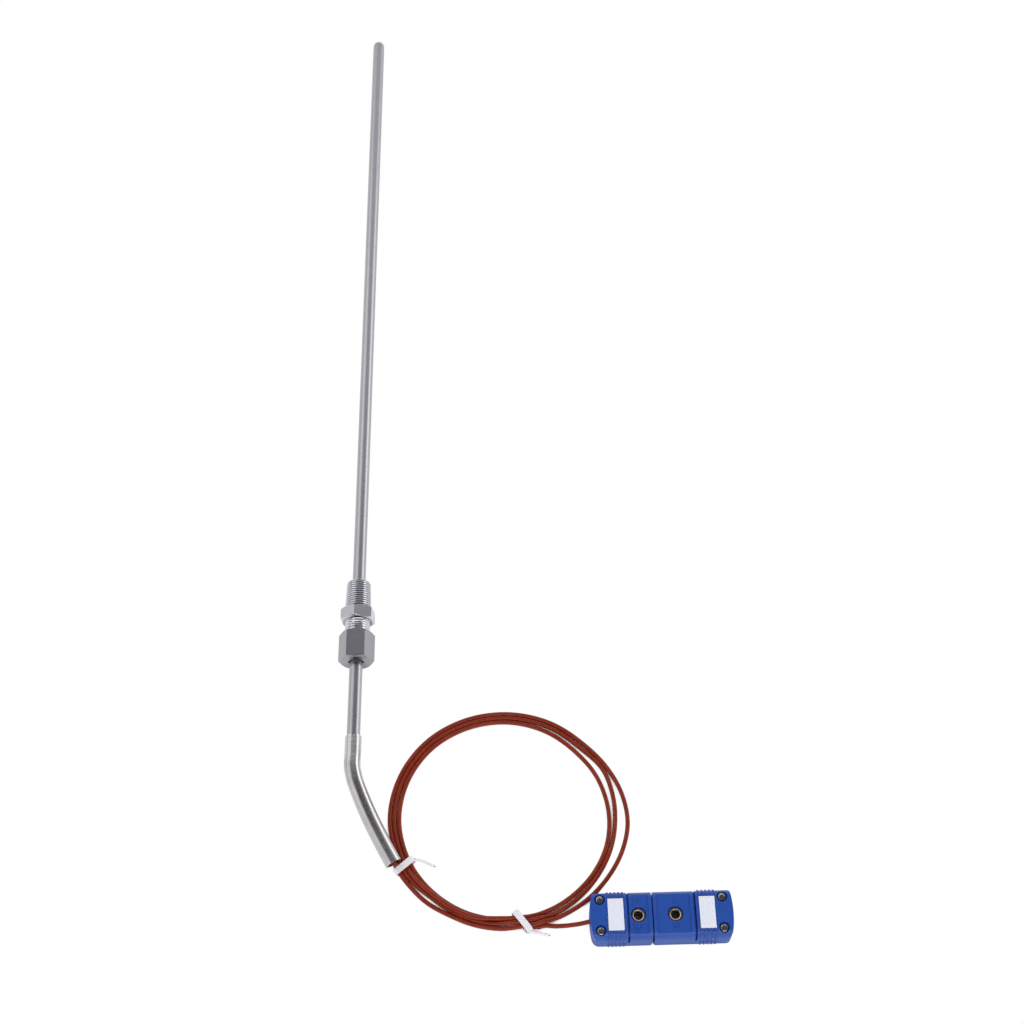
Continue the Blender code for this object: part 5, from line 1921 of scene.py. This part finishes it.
    def build(self) -> None:
        """Build the camera, the floor, the lamps and the world."""
        bpy.context.scene.view_settings.view_transform = "Standard"
        self.build_camera()
        self.build_floor()
        for box in self.boxes:
            box.build(self.target)
        self.build_world()


# --------------------------------------------------------------------------- carried-over pieces


class HiddenParts:
    """The CAD nodes that stay as they are: what sits inside the sheath, fitting and shells."""

    def dress(self, frame: dict, finishes: Finishes) -> None:
        """Give each one its material.

        Args:
            finishes: the materials.
        """
        given = {
            "mineral_core": finishes.magnesia,
            "end_seal": finishes.epoxy,
            "junction_bead": finishes.constantan,
            "positive_wire": finishes.copper,
            "negative_wire": finishes.constantan,
            "front_ferrule": finishes.turned_steel,
            "back_ferrule": finishes.turned_steel,
            "plug_pin_positive": finishes.copper,
            "plug_pin_negative": finishes.constantan,
            "socket_contact_positive": finishes.copper,
            "socket_contact_negative": finishes.constantan,
            "plug_wire_positive": finishes.jacket,
            "plug_wire_negative": finishes.jacket,
        }
        for side in Side:
            for number in (1, 2):
                given[f"{side.value}_terminal_screw_{number}"] = finishes.nickel
        for name, material in given.items():
            node = frame["nodes"][name]
            node.data.materials.clear()
            node.data.materials.append(material)
            LOG.info("%s keeps its CAD shape", name)


def main() -> None:
    """Load the frame, build each sub-assembly in order and dress it."""
    logging.basicConfig(level=logging.INFO, format="%(name)s: %(message)s", stream=sys.stdout)
    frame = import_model()
    finishes = Finishes()
    lie = Lie()
    Studio().build()
    spring = StrainRelief(lie)
    cable = Cable(lie, spring)
    cable_piece = cable.build(finishes)
    Probe(lie).build(finishes)
    Fitting(lie).build(finishes)
    spring.build(finishes)
    left = Tie(
        lie,
        name="tie_left",
        angle=206.3,
        radius=40.4 * MM,
        slant=13.3,
        half_width=4.3 * MM,
        height=3.1 * MM,
        tail=[
            (-4.2 * MM, 0.2 * MM, 1.7 * MM),
            (-5.6 * MM, 1.9 * MM, 1.6 * MM),
            (-8.3 * MM, 7.0 * MM, 1.2 * MM),
        ],
    )
    bottom = Tie(
        lie,
        name="tie_bottom",
        angle=278.9,
        radius=39.3 * MM,
        slant=29.0,
        half_width=4.6 * MM,
        height=4.1 * MM,
        tail=[
            (4.4 * MM, 0.2 * MM, 1.5 * MM),
            (6.1 * MM, 1.6 * MM, 1.5 * MM),
            (9.6 * MM, 4.4 * MM, 1.4 * MM),
        ],
    )
    tie_pieces = [*left.build(finishes), *bottom.build(finishes)]
    plug_length, mating_gap, socket_length = 21.9 * MM, 0.4 * MM, 28.2 * MM
    heading = Matrix.Rotation(cable.turn, 4, "Z")
    plug_place = Matrix.Translation(lie.from_rear(*cable.plug_rear, 0)) @ heading
    plug = Connector(Side.PLUG, plug_place, plug_length, 4.8 * MM, -1, corner=3.0 * MM)
    socket_end = Matrix.Translation((plug_length + mating_gap + socket_length, 0, 0))
    socket_place = plug_place @ socket_end @ Matrix.Rotation(math.pi, 4, "Z")
    socket = Connector(Side.SOCKET, socket_place, socket_length, 7.9 * MM, 1)
    shells = [*plug.build(finishes), *socket.build(finishes)]
    HiddenParts().dress(frame, finishes)


if __name__ == "__main__":
    main()
